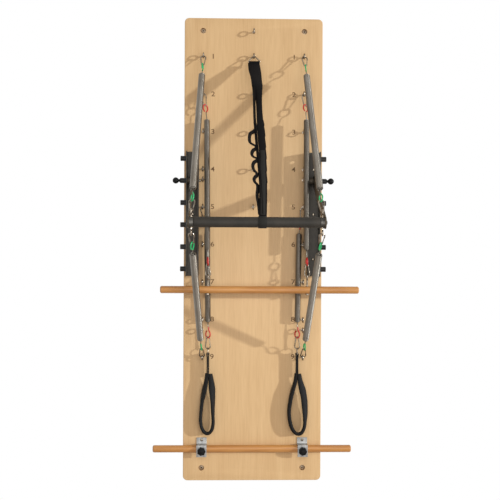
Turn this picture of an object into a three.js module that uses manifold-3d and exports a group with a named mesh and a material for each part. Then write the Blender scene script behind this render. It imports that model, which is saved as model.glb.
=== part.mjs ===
// A wall-mounted pilates springboard: a ply board with numbered eyebolts, a push-through bar that
// swings in two side channels between four green springs, a roll-down bar on two long red springs,
// two foot loops on short red springs, a safety strap and a foot bar clamped at the bottom.
//
// Millimetres. +X runs to the right, +Z up, and the front of the board faces -Y. The origin is the
// middle of the board's back face, where it meets the wall. A depth is measured forwards from the
// board's front face.

import * as THREE from 'three';
import { mergeVertices } from 'three/addons/utils/BufferGeometryUtils.js';
import Module from 'manifold-3d';

const wasm = await Module();
wasm.setup();

// Driving dimensions

// Gaps shared by everything
const seatGap = 0.3;
const linkGap = 0.7;
const runningGap = 0.5;
const cutOverrun = 2;

// Board
const boardWidth = 600;
const boardHeight = 2010;
const boardThickness = 22;
const boardCornerRadius = 20;
const boardEdgeEase = 2.5;

// Wall bolts, one near each corner
const wallBoltSpanX = 440;
const wallBoltEndGap = 55;
const wallBoltRadius = 5;
const wallBoltHeadRadius = 8;
const wallBoltHeadHeight = 6;
const wallBoltWasherRadius = 11.5;
const wallBoltWasherThickness = 2;
const wallBoltSocketRadius = 3.6;
const wallBoltSocketDepth = 4;
const counterboreDepth = 10;

// Eyebolts: nine numbered rows in two side columns, one extra under rows 4 and 8, and a centre column.
// The end gaps run from the board's ends to the first and the last row.
const eyeColumnX = 218;
const eyeTopRowGap = 167;
const eyeBottomRowGap = 539;
const eyeExtraDrop = 45;
const eyeTopCentreGap = 60;
const eyeReach = 24;
const eyeRingRadius = 10;
const eyeWireRadius = 3;
const eyeShankRadius = 4;
const eyeShankDepth = 18;

// Side channels with their adjusting bosses
const channelCentreX = 262.5;
const channelWidth = 55;
const channelDepth = 52;
const channelWall = 4;
const channelBendRadius = 6;
const channelHeight = 538;
const channelCentreZ = 155;
const channelScrewSpacing = 195;
const channelScrewRadius = 6.5;
const channelScrewHeight = 3.5;
const bossPitch = 95;
const bossCount = 6;
const bossRadius = 11;
const bossLength = 24;
const pivotDepth = 34;
const pinBoreRadius = 6.4;

// Pull pins
const pinRadius = 5.8;
const pinTipChamfer = 1.5;
const pinTipPastChannel = 10;
const pinFlangeRadius = 10;
const pinFlangeLength = 3;
const pinNeckRadius = 6.5;
const pinNeckLength = 5;
const pinBallRadius = 13.5;

// Push-through bar
const barDepth = 470;
const barZ = 112;
const armThickness = 6;
const armHalfWidth = 24.5;
const armHubRadius = 14;
const armBoltRadius = 9;
const armBoltHeight = 5;
const tubeRadius = 16;
const tubeWall = 2.5;
const tubeEndEase = 0.6;
const gripRadius = 20.5;
const gripEdgeRound = 3;
const collarRadius = 20;
const collarLength = 15;
const collarEdgeEase = 1;
const barEyeReach = 40;

// Snap hooks, pear shaped, with the wide end on the eye or the strap
const hookLength = 52;
const hookWideRadius = 11;
const hookNarrowRadius = 5.5;
const hookWireRadius = 2.5;

// Springs
const springWireRadius = 1.3;
const springEndWireRadius = 2;
const springLoopRadius = 11;
const springLoopLength = 34;
const springTaper = 12;
const springCurls = 8;
const greenCoilRadius = 12.7;
const redCoilRadius = 11.2;
const greenBoardEnd = 108;
const greenBarEnd = 106;

// Red coils, which lean on the idle eyebolts they hang past, so each is placed by its two ends
const longCoilTopDrop = 113;
const longCoilBottomRise = 116;
const longLeftTopX = -201.6;
const longLeftTopDepth = 36;
const longLeftBottomX = -196;
const longRightTopX = 225.5;
const longRightTopDepth = 61;
const longRightBottomX = 228;
const longBottomDepth = 67;
const shortCoilTopDrop = 113;
const shortCoilBottomRise = 114;
const shortTopX = 199;
const shortBottomX = 193.5;

// Roll-down bar, hanging a little to the right of the middle, with its eyes nearer the middle than it is
const dowelRadius = 15.5;
const dowelEndRound = 6;
const rollBarLength = 850;
const rollBarShift = 28;
const rollEyeShift = 19;
const rollBarDepth = 70;
const rollBarZ = -170;
const rollEyeHalfSpan = 212;
const rollEyeReach = 54;
const rollShankRadius = 3.8;
const rollNutRadius = 7;
const rollNutHeight = 6;
const rollShankPastNut = 2;

// Foot loops
const strapHookX = 193;
const strapHookRise = 435;
const loopEyeWidth = 8;
const loopEyeRadius = 5.5;
const loopEyeWall = 3.5;
const loopHangGap = 1.5;
const loopNeckWidth = 13;
const loopNeckDepth = 26;
const loopNeckLength = 140;
const loopLength = 256;
const loopTopRadius = 12;
const loopBottomRadius = 40;
const loopPadThickness = 13;
const loopDepth = 34;

// Safety strap between the top centre eye and the push-through bar
const strapWidth = 38;
const strapThickness = 4;
const strapEdgeEase = 0.8;
const strapWrapX = 21;
const strapWrapWidth = 34;
const strapBow = 50;
const strapSteps = 10;
const tieLength = 34;
const tieEyeRadius = 8;
const tieCornerRadius = 5;
const tieHalfSpan = 18;
const daisyLoopCount = 4;
const daisyLoopReach = 30;
const daisyLoopWidth = 20;
const daisyWebThickness = 3;
const daisyFirstShare = 0.42;
const daisyPitchShare = 0.13;
const daisyHalfShare = 0.045;

// Foot bar and its two clamps
const footBarLength = 860;
const footBarRise = 142;
const clampX = 219;
const clampWidth = 44;
const clampPlate = 3;
const clampTopFlange = 30;
const clampFrontLength = 51;
const clampBendEase = 3;
const clampScrewRadius = 6.5;
const clampScrewHeight = 3;
const clampStudRadius = 4;
const clampStudDrop = 6;
const knobRadius = 18;
const knobLobeDepth = 1.6;
const knobEdgeEase = 1.6;
const knobLobes = 7;
const knobThickness = 15;
const knobHubRadius = 8;
const knobHubHeight = 4;

// Facets
const ringSteps = 12;
const ringSides = 5;
const linkSides = 5;
const curlSteps = 8;
const curlSides = 5;
const roundSides = 14;
const smallRoundSides = 6;
const bossSides = 8;
const idleEyeSides = 4;
const idleEyeSteps = 8;

// Worked-out places

const boardFront = -boardThickness;
const across = new THREE.Vector3(1, 0, 0);
const upwards = new THREE.Vector3(0, 0, 1);

// A point given by its distance from the middle, its depth in front of the board and its height.
function place(x, depth, z) {
  return new THREE.Vector3(x, boardFront - depth, z);
}

const boardTop = boardHeight / 2;
const eyeRowPitch = (boardHeight - eyeTopRowGap - eyeBottomRowGap) / 8;
const eyeRowZ = (row) => boardTop - eyeTopRowGap - (row - 1) * eyeRowPitch;
const eyeTopCentreZ = boardTop - eyeTopCentreGap;
const footBarZ = footBarRise - boardTop;
const strapHookZ = footBarZ + strapHookRise;
const pivotZ = channelCentreZ + (bossCount / 2 - 1.5) * bossPitch;
const bossZ = (index) => channelCentreZ + ((bossCount - 1) / 2 - index) * bossPitch;
const armReach = barDepth - pivotDepth;
const armDrop = pivotZ - barZ;
const armLength = Math.hypot(armReach, armDrop);
const armInnerX = channelCentreX - armThickness / 2;
const armOuterX = channelCentreX + armThickness / 2;
const collarX = armInnerX - seatGap - collarLength / 2;
const footBarDepth = dowelRadius + runningGap;
const clampStudZ = footBarZ - clampStudDrop;
const clampFrontDepth = footBarDepth + dowelRadius + runningGap + clampPlate;

// Solids and joins

function toSolid(geometry) {
  const bare = geometry.clone();
  bare.deleteAttribute('normal');
  bare.deleteAttribute('uv');
  const merged = mergeVertices(bare);
  const vertProperties = new Float32Array(merged.attributes.position.array);
  const triVerts = new Uint32Array(merged.index.array);
  return new wasm.Manifold(new wasm.Mesh({ numProp: 3, vertProperties, triVerts }));
}

function toGeometry(solid) {
  const mesh = solid.getMesh();
  const geometry = new THREE.BufferGeometry();
  geometry.setAttribute('position', new THREE.BufferAttribute(new Float32Array(mesh.vertProperties), 3));
  geometry.setIndex(Array.from(mesh.triVerts));
  geometry.computeVertexNormals();
  return geometry;
}

function join(geometries) {
  const solids = geometries.map(toSolid);
  return toGeometry(solids.reduce((whole, solid) => whole.add(solid)));
}

function cut(geometry, holes) {
  let solid = toSolid(geometry);
  for (const hole of holes) {
    solid = solid.subtract(toSolid(hole));
  }
  return toGeometry(solid);
}

function common(first, second) {
  return toGeometry(toSolid(first).intersect(toSolid(second)));
}

// The radius of a faceted hole whose flats lie as far out as a round hole's wall.
function holeRadius(radius, sides) {
  return radius / Math.cos(Math.PI / sides);
}

// Basic shapes along an axis

function rodX(radius, fromX, toX, sides = roundSides) {
  const rod = new THREE.CylinderGeometry(radius, radius, Math.abs(toX - fromX), sides);
  return rod.rotateZ(Math.PI / 2).translate((fromX + toX) / 2, 0, 0);
}

function rodY(radius, fromY, toY, sides = roundSides) {
  const rod = new THREE.CylinderGeometry(radius, radius, Math.abs(toY - fromY), sides);
  return rod.translate(0, (fromY + toY) / 2, 0);
}

function rodZ(radius, fromZ, toZ, sides = roundSides) {
  const rod = new THREE.CylinderGeometry(radius, radius, Math.abs(toZ - fromZ), sides);
  return rod.rotateX(Math.PI / 2).translate(0, 0, (fromZ + toZ) / 2);
}

// A body turned round X from a profile of [radius, x] pairs.
function turnedX(profile, sides = roundSides) {
  const points = profile.map(([radius, x]) => new THREE.Vector2(radius, x));
  return new THREE.LatheGeometry(points, sides).rotateZ(-Math.PI / 2);
}

// A body turned round Y from a profile of [radius, y] pairs.
function turnedY(profile, sides = roundSides) {
  const points = profile.map(([radius, y]) => new THREE.Vector2(radius, y));
  return new THREE.LatheGeometry(points, sides);
}

function roundedRectangle(width, height, radius) {
  const x = width / 2;
  const y = height / 2;
  const shape = new THREE.Shape();
  shape.moveTo(-x + radius, -y);
  shape.lineTo(x - radius, -y);
  shape.absarc(x - radius, -y + radius, radius, -Math.PI / 2, 0);
  shape.lineTo(x, y - radius);
  shape.absarc(x - radius, y - radius, radius, 0, Math.PI / 2);
  shape.lineTo(-x + radius, y);
  shape.absarc(-x + radius, y - radius, radius, Math.PI / 2, Math.PI);
  shape.lineTo(-x, -y + radius);
  shape.absarc(-x + radius, -y + radius, radius, Math.PI, Math.PI * 1.5);
  return shape;
}

// Rings of points joined into one closed skin. Each ring runs anticlockwise seen against the travel.
function skin(rings, closed) {
  const sides = rings[0].length;
  const positions = rings.flat().flatMap((point) => [point.x, point.y, point.z]);
  const index = [];
  const spans = closed ? rings.length : rings.length - 1;
  for (let ring = 0; ring < spans; ring++) {
    const next = (ring + 1) % rings.length;
    for (let side = 0; side < sides; side++) {
      const beside = (side + 1) % sides;
      const a = ring * sides + side;
      const b = ring * sides + beside;
      const c = next * sides + beside;
      const d = next * sides + side;
      index.push(a, b, c, a, c, d);
    }
  }
  if (!closed) {
    const last = (rings.length - 1) * sides;
    for (let side = 1; side < sides - 1; side++) {
      index.push(0, side + 1, side);
      index.push(last, last + side, last + side + 1);
    }
  }
  const geometry = new THREE.BufferGeometry();
  geometry.setAttribute('position', new THREE.Float32BufferAttribute(positions, 3));
  geometry.setIndex(index);
  geometry.computeVertexNormals();
  return geometry;
}

// The section of a wire at one point, with a corner towards `inner`.
function wireRing(centre, inner, side, radius, sides) {
  const ring = [];
  for (let step = 0; step < sides; step++) {
    const angle = (step / sides) * Math.PI * 2;
    const point = centre.clone();
    point.addScaledVector(inner, radius * Math.cos(angle));
    point.addScaledVector(side, radius * Math.sin(angle));
    ring.push(point);
  }
  return ring;
}

// Links: wire bent into a closed loop round two or three circles

// Points of the loop drawn round the circles, taken anticlockwise, each { u, v, radius, steps }.
function loopPoints(circles) {
  const count = circles.length;
  const normals = circles.map((from, i) => {
    const to = circles[(i + 1) % count];
    const run = new THREE.Vector2(to.u - from.u, to.v - from.v);
    const lean = Math.asin((from.radius - to.radius) / run.length());
    return Math.atan2(run.y, run.x) - Math.PI / 2 + lean;
  });
  const points = [];
  circles.forEach((circle, i) => {
    const start = normals[(i + count - 1) % count];
    let sweep = normals[i] - start;
    while (sweep <= 0) sweep += Math.PI * 2;
    while (sweep > Math.PI * 2) sweep -= Math.PI * 2;
    for (let step = 0; step <= circle.steps; step++) {
      const angle = start + (sweep * step) / circle.steps;
      points.push([circle.u + circle.radius * Math.cos(angle), circle.v + circle.radius * Math.sin(angle)]);
    }
  });
  return points;
}

// A wire loop that starts at `top`, runs along `along` and lies in the plane of `along` and `lateral`.
function wireLoop(circles, top, along, lateral, radius, sides) {
  const normal = new THREE.Vector3().crossVectors(along, lateral);
  const centres = loopPoints(circles).map(([u, v]) => (
    top.clone().addScaledVector(along, u).addScaledVector(lateral, v)));
  const rings = centres.map((centre, i) => {
    const before = centres[(i + centres.length - 1) % centres.length];
    const after = centres[(i + 1) % centres.length];
    const travel = after.clone().sub(before).normalize();
    const inner = new THREE.Vector3().crossVectors(normal, travel);
    return wireRing(centre, inner, normal, radius, sides);
  });
  return skin(rings, true);
}

// The snap hook's wide end is at `top`, its narrow end a hook's length along.
function snapHook(top, along, lateral) {
  const circles = [
    { u: hookWideRadius, v: 0, radius: hookWideRadius, steps: 6 },
    { u: hookLength - hookNarrowRadius, v: 0, radius: hookNarrowRadius, steps: 4 },
  ];
  return wireLoop(circles, top, along, lateral, hookWireRadius, linkSides);
}

// How far inside the eye's centre the wire of a link lies that hangs in the eye.
const eyeToHook = eyeRingRadius - eyeWireRadius - hookWireRadius - linkGap;
const hookToSpring = hookLength - hookWireRadius - springEndWireRadius - linkGap;

// An eyebolt with its ring round the origin in the YZ plane and its shank along +Y.
function eyebolt(shankEnd, sides = ringSides, steps = ringSteps) {
  const ring = new THREE.TorusGeometry(eyeRingRadius, eyeWireRadius, sides, steps);
  ring.rotateY(Math.PI / 2);
  return join([ring, rodY(eyeShankRadius, eyeRingRadius, shankEnd, smallRoundSides)]);
}

// Springs: one unbroken wire, loop, neck, coil, neck and loop

// The end loop and its neck, from the loop's top towards the coil, in a plane square to its hook's.
function springEnd(top, coilEnd) {
  const along = coilEnd.clone().sub(top);
  const neckLength = along.length() - springTaper;
  along.normalize();
  const lateral = new THREE.Vector3().crossVectors(along, across).normalize();
  const outline = [[springLoopLength - springEndWireRadius, 2 * springEndWireRadius + runningGap]];
  const steps = 6;
  const halfSweep = Math.PI * 0.56;
  for (let step = 0; step <= steps; step++) {
    const angle = halfSweep - (2 * halfSweep * step) / steps;
    const back = springLoopRadius - springLoopRadius * Math.cos(angle);
    outline.push([back, springLoopRadius * Math.sin(angle)]);
  }
  outline.push([springLoopLength, 0], [neckLength, 0]);
  return outline.map(([u, v]) => ({
    centre: top.clone().addScaledVector(along, u).addScaledVector(lateral, v),
    radius: springEndWireRadius,
  }));
}

// The coil, with a half turn at each end in which it closes in on its axis and thickens to the neck.
function coilPoints(from, to, coilRadius) {
  const along = to.clone().sub(from);
  const length = along.length();
  along.normalize();
  const lateral = new THREE.Vector3().crossVectors(along, across).normalize();
  const side = new THREE.Vector3().crossVectors(along, lateral);
  const taperSteps = curlSteps / 2;
  const coilSteps = springCurls * curlSteps;
  const points = [];
  for (let step = 1 - taperSteps; step < coilSteps + taperSteps; step++) {
    const angle = (step / curlSteps) * Math.PI * 2;
    const inCoil = THREE.MathUtils.clamp(step, 0, coilSteps);
    const taper = (step - inCoil) / taperSteps;
    const grown = 1 - Math.abs(taper);
    const centre = from.clone().addScaledVector(along, (inCoil / coilSteps) * length + taper * springTaper);
    centre.addScaledVector(lateral, coilRadius * grown * Math.cos(angle));
    centre.addScaledVector(side, coilRadius * grown * Math.sin(angle));
    points.push({ centre, radius: THREE.MathUtils.lerp(springEndWireRadius, springWireRadius, grown) });
  }
  return points;
}

// The least gap between two stretches of one wire that don't follow each other.
function leastSelfGap(points) {
  const neighbours = 4;
  let least = Infinity;
  for (let i = 0; i < points.length; i++) {
    for (let j = i + neighbours; j < points.length; j++) {
      const between = points[i].centre.distanceTo(points[j].centre);
      least = Math.min(least, between - points[i].radius - points[j].radius);
    }
  }
  return least;
}

const springGaps = {};

function spring(name, start, coilFrom, coilTo, finish, coilRadius) {
  const points = [
    ...springEnd(start, coilFrom),
    ...coilPoints(coilFrom, coilTo, coilRadius),
    ...springEnd(finish, coilTo).reverse(),
  ];
  springGaps[name] = leastSelfGap(points);
  let inner = across.clone();
  const rings = points.map(({ centre, radius }, i) => {
    const before = points[Math.max(i - 1, 0)].centre;
    const after = points[Math.min(i + 1, points.length - 1)].centre;
    const travel = after.clone().sub(before).normalize();
    inner = inner.clone().addScaledVector(travel, -inner.dot(travel)).normalize();
    const beside = new THREE.Vector3().crossVectors(travel, inner);
    return wireRing(centre, inner, beside, radius, curlSides);
  });
  return skin(rings, false);
}

// Board with its eyebolts

const idleEyes = [];
const loadedEyes = [];
const loadedRows = [1, 2, 5, 9];
for (const side of [-1, 1]) {
  for (let row = 1; row <= 9; row++) {
    const eye = { x: side * eyeColumnX, z: eyeRowZ(row), row, side };
    (loadedRows.includes(row) ? loadedEyes : idleEyes).push(eye);
  }
  for (const row of [4, 8]) {
    idleEyes.push({ x: side * eyeColumnX, z: eyeRowZ(row) - eyeExtraDrop });
  }
}
loadedEyes.push({ x: 0, z: eyeRowZ(1), row: 1, side: 0 });
idleEyes.push({ x: 0, z: eyeTopCentreZ });
for (let row = 2; row <= 5; row++) {
  idleEyes.push({ x: 0, z: eyeRowZ(row) });
}

function wallBoltPlaces() {
  const x = wallBoltSpanX / 2;
  const z = boardTop - wallBoltEndGap;
  return [['top_left', -x, z], ['top_right', x, z], ['bottom_left', -x, -z], ['bottom_right', x, -z]];
}

function boardGeometry() {
  const outline = roundedRectangle(boardWidth, boardHeight, boardCornerRadius);
  const panel = new THREE.ExtrudeGeometry(outline, {
    depth: boardThickness - 2 * boardEdgeEase,
    bevelThickness: boardEdgeEase,
    bevelSize: boardEdgeEase,
    bevelOffset: -boardEdgeEase,
    bevelSegments: 1,
    curveSegments: 5,
  });
  panel.translate(0, 0, boardEdgeEase).rotateX(Math.PI / 2);
  const holes = [];
  for (const [, x, z] of wallBoltPlaces()) {
    const bore = rodY(wallBoltRadius + seatGap, boardFront - cutOverrun, cutOverrun, bossSides);
    const counterbore = rodY(
      wallBoltWasherRadius + runningGap, boardFront - cutOverrun, boardFront + counterboreDepth, bossSides);
    holes.push(bore.translate(x, 0, z), counterbore.translate(x, 0, z));
  }
  for (const eye of loadedEyes) {
    const bore = rodY(
      eyeShankRadius + seatGap, boardFront - cutOverrun, boardFront + eyeShankDepth, smallRoundSides);
    holes.push(bore.translate(eye.x, 0, eye.z));
  }
  const eyes = idleEyes.map((eye) => {
    const centre = place(eye.x, eyeReach, eye.z);
    return eyebolt(eyeReach + cutOverrun, idleEyeSides, idleEyeSteps).translate(centre.x, centre.y, centre.z);
  });
  return join([cut(panel, holes), ...eyes]);
}

// The bolt's axis is Y, and its washer sits on the floor of the counterbore at the origin.
function wallBoltGeometry() {
  const washerTop = -seatGap - wallBoltWasherThickness;
  const headTop = washerTop - wallBoltHeadHeight;
  const body = turnedY([
    [0, headTop],
    [wallBoltHeadRadius, headTop],
    [wallBoltHeadRadius, washerTop],
    [wallBoltWasherRadius, washerTop],
    [wallBoltWasherRadius, -seatGap],
    [wallBoltRadius, -seatGap],
    [wallBoltRadius, boardThickness - counterboreDepth - seatGap],
    [0, boardThickness - counterboreDepth - seatGap],
  ], bossSides);
  const socket = rodY(wallBoltSocketRadius, headTop - cutOverrun, headTop + wallBoltSocketDepth, 6);
  return cut(body, [socket]);
}

// Side channel, centred on its own middle plane with its web towards the board at y = 0

function channelGeometry(outwards) {
  const half = channelWidth / 2;
  const inner = half - channelWall;
  const innerBend = channelBendRadius - channelWall;
  const section = new THREE.Shape();
  section.moveTo(-half, -channelDepth);
  section.lineTo(-inner, -channelDepth);
  section.lineTo(-inner, -channelBendRadius);
  section.absarc(-inner + innerBend, -channelBendRadius, innerBend, Math.PI, Math.PI / 2, true);
  section.lineTo(inner - innerBend, -channelWall);
  section.absarc(inner - innerBend, -channelBendRadius, innerBend, Math.PI / 2, 0, true);
  section.lineTo(inner, -channelDepth);
  section.lineTo(half, -channelDepth);
  section.lineTo(half, -channelBendRadius);
  section.absarc(half - channelBendRadius, -channelBendRadius, channelBendRadius, 0, Math.PI / 2);
  section.lineTo(-half + channelBendRadius, 0);
  section.absarc(-half + channelBendRadius, -channelBendRadius, channelBendRadius, Math.PI / 2, Math.PI);
  const rail = new THREE.ExtrudeGeometry(section, {
    depth: channelHeight, bevelEnabled: false, curveSegments: 2,
  });
  rail.translate(0, 0, channelCentreZ - channelHeight / 2);
  const added = [rail];
  const bores = [];
  for (let index = 0; index < bossCount; index++) {
    const middle = [0, seatGap - pivotDepth, bossZ(index)];
    const flange = outwards * (half - channelWall / 2);
    added.push(rodX(bossRadius, flange, outwards * (half + bossLength), bossSides).translate(...middle));
    const reach = outwards * (half + bossLength + cutOverrun);
    bores.push(rodX(pinBoreRadius, -outwards * (half + cutOverrun), reach, bossSides).translate(...middle));
  }
  for (const step of [-1, 0, 1]) {
    const head = rodY(
      channelScrewRadius, -channelWall - channelScrewHeight, -channelWall / 2, smallRoundSides);
    added.push(head.translate(0, 0, channelCentreZ + step * channelScrewSpacing));
  }
  return cut(join(added), bores);
}

// Pull pin: its axis is X, x = 0 is the middle of the channel, and the ball knob is at +X

function pullPinGeometry() {
  const half = channelWidth / 2;
  const tip = -half - pinTipPastChannel;
  const seat = half + bossLength + seatGap;
  const neck = seat + pinFlangeLength;
  const ballCentre = neck + pinNeckLength + pinBallRadius * Math.cos(Math.asin(pinNeckRadius / pinBallRadius));
  const profile = [
    [0, tip],
    [pinRadius - pinTipChamfer, tip],
    [pinRadius, tip + pinTipChamfer],
    [pinRadius, seat],
    [pinFlangeRadius, seat],
    [pinNeckRadius, neck],
    [pinNeckRadius, neck + pinNeckLength],
  ];
  const steps = 6;
  const start = Math.PI - Math.asin(pinNeckRadius / pinBallRadius);
  for (let step = 1; step < steps; step++) {
    const angle = start * (1 - step / steps);
    profile.push([pinBallRadius * Math.sin(angle), ballCentre + pinBallRadius * Math.cos(angle)]);
  }
  profile.push([0, ballCentre + pinBallRadius]);
  return turnedX(profile, bossSides);
}

// Push-through bar

// The arm runs from the origin, its pivot, along +X of its own frame, with its thickness along Z.
function armGeometry(outwards) {
  const outline = new THREE.Shape();
  outline.absarc(0, 0, armHalfWidth, Math.PI / 2, Math.PI * 1.5);
  outline.absarc(armLength, 0, armHalfWidth, -Math.PI / 2, Math.PI / 2);
  const plate = new THREE.ExtrudeGeometry(outline, {
    depth: armThickness, bevelEnabled: false, curveSegments: 8,
  });
  plate.translate(0, 0, -armThickness / 2);
  const hubReach = channelWidth / 2 - channelWall - runningGap;
  const hub = rodZ(armHubRadius, -hubReach, hubReach, ringSteps);
  const boltEnd = outwards * (armThickness / 2 + armBoltHeight);
  const bolt = rodZ(armBoltRadius, 0, boltEnd, ringSteps).translate(armLength, 0, 0);
  const bore = rodZ(pinBoreRadius, -channelWidth, channelWidth, ringSteps);
  return cut(join([plate, hub, bolt]), [bore]);
}

function sleeve(innerRadius, outerRadius, halfLength, edgeRound, sides = roundSides) {
  return turnedX([
    [innerRadius, -halfLength],
    [outerRadius - edgeRound, -halfLength],
    [outerRadius, -halfLength + edgeRound],
    [outerRadius, halfLength - edgeRound],
    [outerRadius - edgeRound, halfLength],
    [innerRadius, halfLength],
    [innerRadius, -halfLength],
  ], sides);
}

function pushTubeGeometry() {
  return sleeve(tubeRadius - tubeWall, tubeRadius, armInnerX - seatGap, tubeEndEase);
}

function pushGripGeometry() {
  return sleeve(tubeRadius + seatGap, gripRadius, collarX - collarLength / 2 - seatGap, gripEdgeRound);
}

// The collar clamps the tube's end and carries one eye above the bar and one below it.
function collarGeometry() {
  const ring = sleeve(tubeRadius + seatGap, collarRadius, collarLength / 2, collarEdgeEase);
  const eyes = [1, -1].map((up) => {
    const bolt = eyebolt(barEyeReach - tubeRadius - (collarRadius - tubeRadius) / 2);
    return bolt.rotateX(-up * Math.PI / 2).translate(0, 0, up * barEyeReach);
  });
  return join([ring, ...eyes]);
}

// Dowels

function dowelGeometry(length) {
  const half = length / 2;
  return turnedX([
    [0, -half],
    [dowelRadius - dowelEndRound, -half],
    [dowelRadius, -half + dowelEndRound],
    [dowelRadius, half - dowelEndRound],
    [dowelRadius - dowelEndRound, half],
    [0, half],
  ]);
}

function rollBarGeometry() {
  const holes = [-1, 1].map((side) => (
    rodZ(rollShankRadius + seatGap, -dowelRadius - cutOverrun, dowelRadius + cutOverrun, smallRoundSides)
      .translate(rollEyeShift - rollBarShift + side * rollEyeHalfSpan, 0, 0)));
  return cut(dowelGeometry(rollBarLength), holes);
}

// The eye stands over the dowel's axis, at the origin, and a nut holds its shank below.
function rollEyeGeometry() {
  const ring = new THREE.TorusGeometry(eyeRingRadius, eyeWireRadius, ringSides, ringSteps);
  ring.rotateY(Math.PI / 2).translate(0, 0, rollEyeReach);
  const nutTop = -dowelRadius - seatGap;
  const nutBottom = nutTop - rollNutHeight;
  const shank = rodZ(rollShankRadius, nutBottom - rollShankPastNut, rollEyeReach - eyeRingRadius, smallRoundSides);
  return join([ring, shank, rodZ(rollNutRadius, nutBottom, nutTop, 6)]);
}

// Foot loop: a gathered neck that hangs on the hook's wire at the origin, and a padded loop below it

function footLoopGeometry() {
  const topZ = hookWireRadius + loopHangGap + loopEyeWall;
  const neckZ = topZ - loopNeckLength;
  const bottomZ = neckZ - loopLength;
  const outside = [
    { u: 0, v: neckZ - loopTopRadius, radius: loopTopRadius, steps: 6 },
    { u: 0, v: bottomZ + loopBottomRadius, radius: loopBottomRadius, steps: 14 },
  ];
  const inside = outside.map(({ u, v, radius, steps }, i) => (
    i === 0
      ? { u, v: v - 2 * loopPadThickness, radius: radius / 2, steps }
      : { u, v, radius: radius - loopPadThickness, steps }));
  const ribbon = new THREE.Shape(loopPoints(outside).map(([x, z]) => new THREE.Vector2(x, z)));
  ribbon.holes.push(new THREE.Path(loopPoints(inside).map(([x, z]) => new THREE.Vector2(x, z))));
  const loop = new THREE.ExtrudeGeometry(ribbon, { depth: loopDepth, bevelEnabled: false });
  loop.translate(0, 0, -loopDepth / 2).rotateX(Math.PI / 2);
  const neck = new THREE.Shape();
  const shoulderZ = topZ - 2 * loopEyeRadius - 2 * loopEyeWall;
  neck.moveTo(-loopEyeWidth / 2, topZ);
  neck.lineTo(-loopEyeWidth / 2, shoulderZ);
  neck.lineTo(-loopNeckWidth / 2, shoulderZ - loopEyeWidth);
  neck.lineTo(-loopNeckWidth / 2, neckZ - loopTopRadius);
  neck.lineTo(loopNeckWidth / 2, neckZ - loopTopRadius);
  neck.lineTo(loopNeckWidth / 2, shoulderZ - loopEyeWidth);
  neck.lineTo(loopEyeWidth / 2, shoulderZ);
  neck.lineTo(loopEyeWidth / 2, topZ);
  const stem = new THREE.ExtrudeGeometry(neck, { depth: loopDepth, bevelEnabled: false });
  stem.translate(0, 0, -loopDepth / 2).rotateX(Math.PI / 2);
  const profile = new THREE.Shape();
  profile.moveTo(-loopEyeRadius - loopEyeWall, topZ);
  profile.lineTo(loopEyeRadius + loopEyeWall, topZ);
  profile.lineTo(loopNeckDepth / 2, shoulderZ - loopEyeWidth);
  profile.lineTo(loopNeckDepth / 2, neckZ);
  profile.lineTo(loopDepth / 2, neckZ - loopNeckDepth);
  profile.lineTo(loopDepth / 2, bottomZ);
  profile.lineTo(-loopDepth / 2, bottomZ);
  profile.lineTo(-loopDepth / 2, neckZ - loopNeckDepth);
  profile.lineTo(-loopNeckDepth / 2, neckZ);
  profile.lineTo(-loopNeckDepth / 2, shoulderZ - loopEyeWidth);
  const side = new THREE.ExtrudeGeometry(profile, { depth: 4 * loopBottomRadius, bevelEnabled: false });
  side.translate(0, 0, -2 * loopBottomRadius).rotateX(Math.PI / 2).rotateZ(Math.PI / 2);
  const hangZ = hookWireRadius + loopHangGap - loopEyeRadius;
  const eye = rodX(loopEyeRadius, -loopNeckWidth, loopNeckWidth, ringSteps).translate(0, 0, hangZ);
  return cut(common(join([loop, stem]), side), [eye]);
}

// Safety strap

const tieTop = place(0, eyeReach, eyeRowZ(1));
const strapTarget = place(strapWrapX, barDepth, barZ);
const strapAlong = strapTarget.clone().sub(tieTop).normalize();
const strapNormal = new THREE.Vector3().crossVectors(strapAlong, across).normalize();
const strapLateral = new THREE.Vector3().crossVectors(strapNormal, strapAlong).normalize();
const tieStart = tieTop.clone().addScaledVector(strapAlong, eyeToHook);

function tieRingGeometry() {
  const circles = [
    { u: tieEyeRadius, v: 0, radius: tieEyeRadius, steps: 4 },
    { u: tieLength - tieCornerRadius, v: -tieHalfSpan, radius: tieCornerRadius, steps: 3 },
    { u: tieLength - tieCornerRadius, v: tieHalfSpan, radius: tieCornerRadius, steps: 3 },
  ];
  return wireLoop(circles, tieStart, strapAlong, strapLateral, hookWireRadius, linkSides);
}

function ribbonRing(centre, lateral, normal, width, thickness) {
  const corners = [[1, 1], [-1, 1], [-1, -1], [1, -1]];
  return corners.map(([a, b]) => (
    centre.clone().addScaledVector(lateral, a * width / 2).addScaledVector(normal, b * thickness / 2)));
}

// The stiff band bows forward between the ring and the bar, and narrows towards the wrap.
function strapPoint(share) {
  const wrapRadius = gripRadius + runningGap + strapThickness / 2;
  const start = tieStart.clone().addScaledVector(strapAlong, tieLength + strapThickness);
  const finish = strapTarget.clone().addScaledVector(strapAlong, -wrapRadius);
  const point = start.lerp(finish, share);
  return point.addScaledVector(strapNormal, strapBow * Math.sin(Math.PI * share));
}

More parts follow.
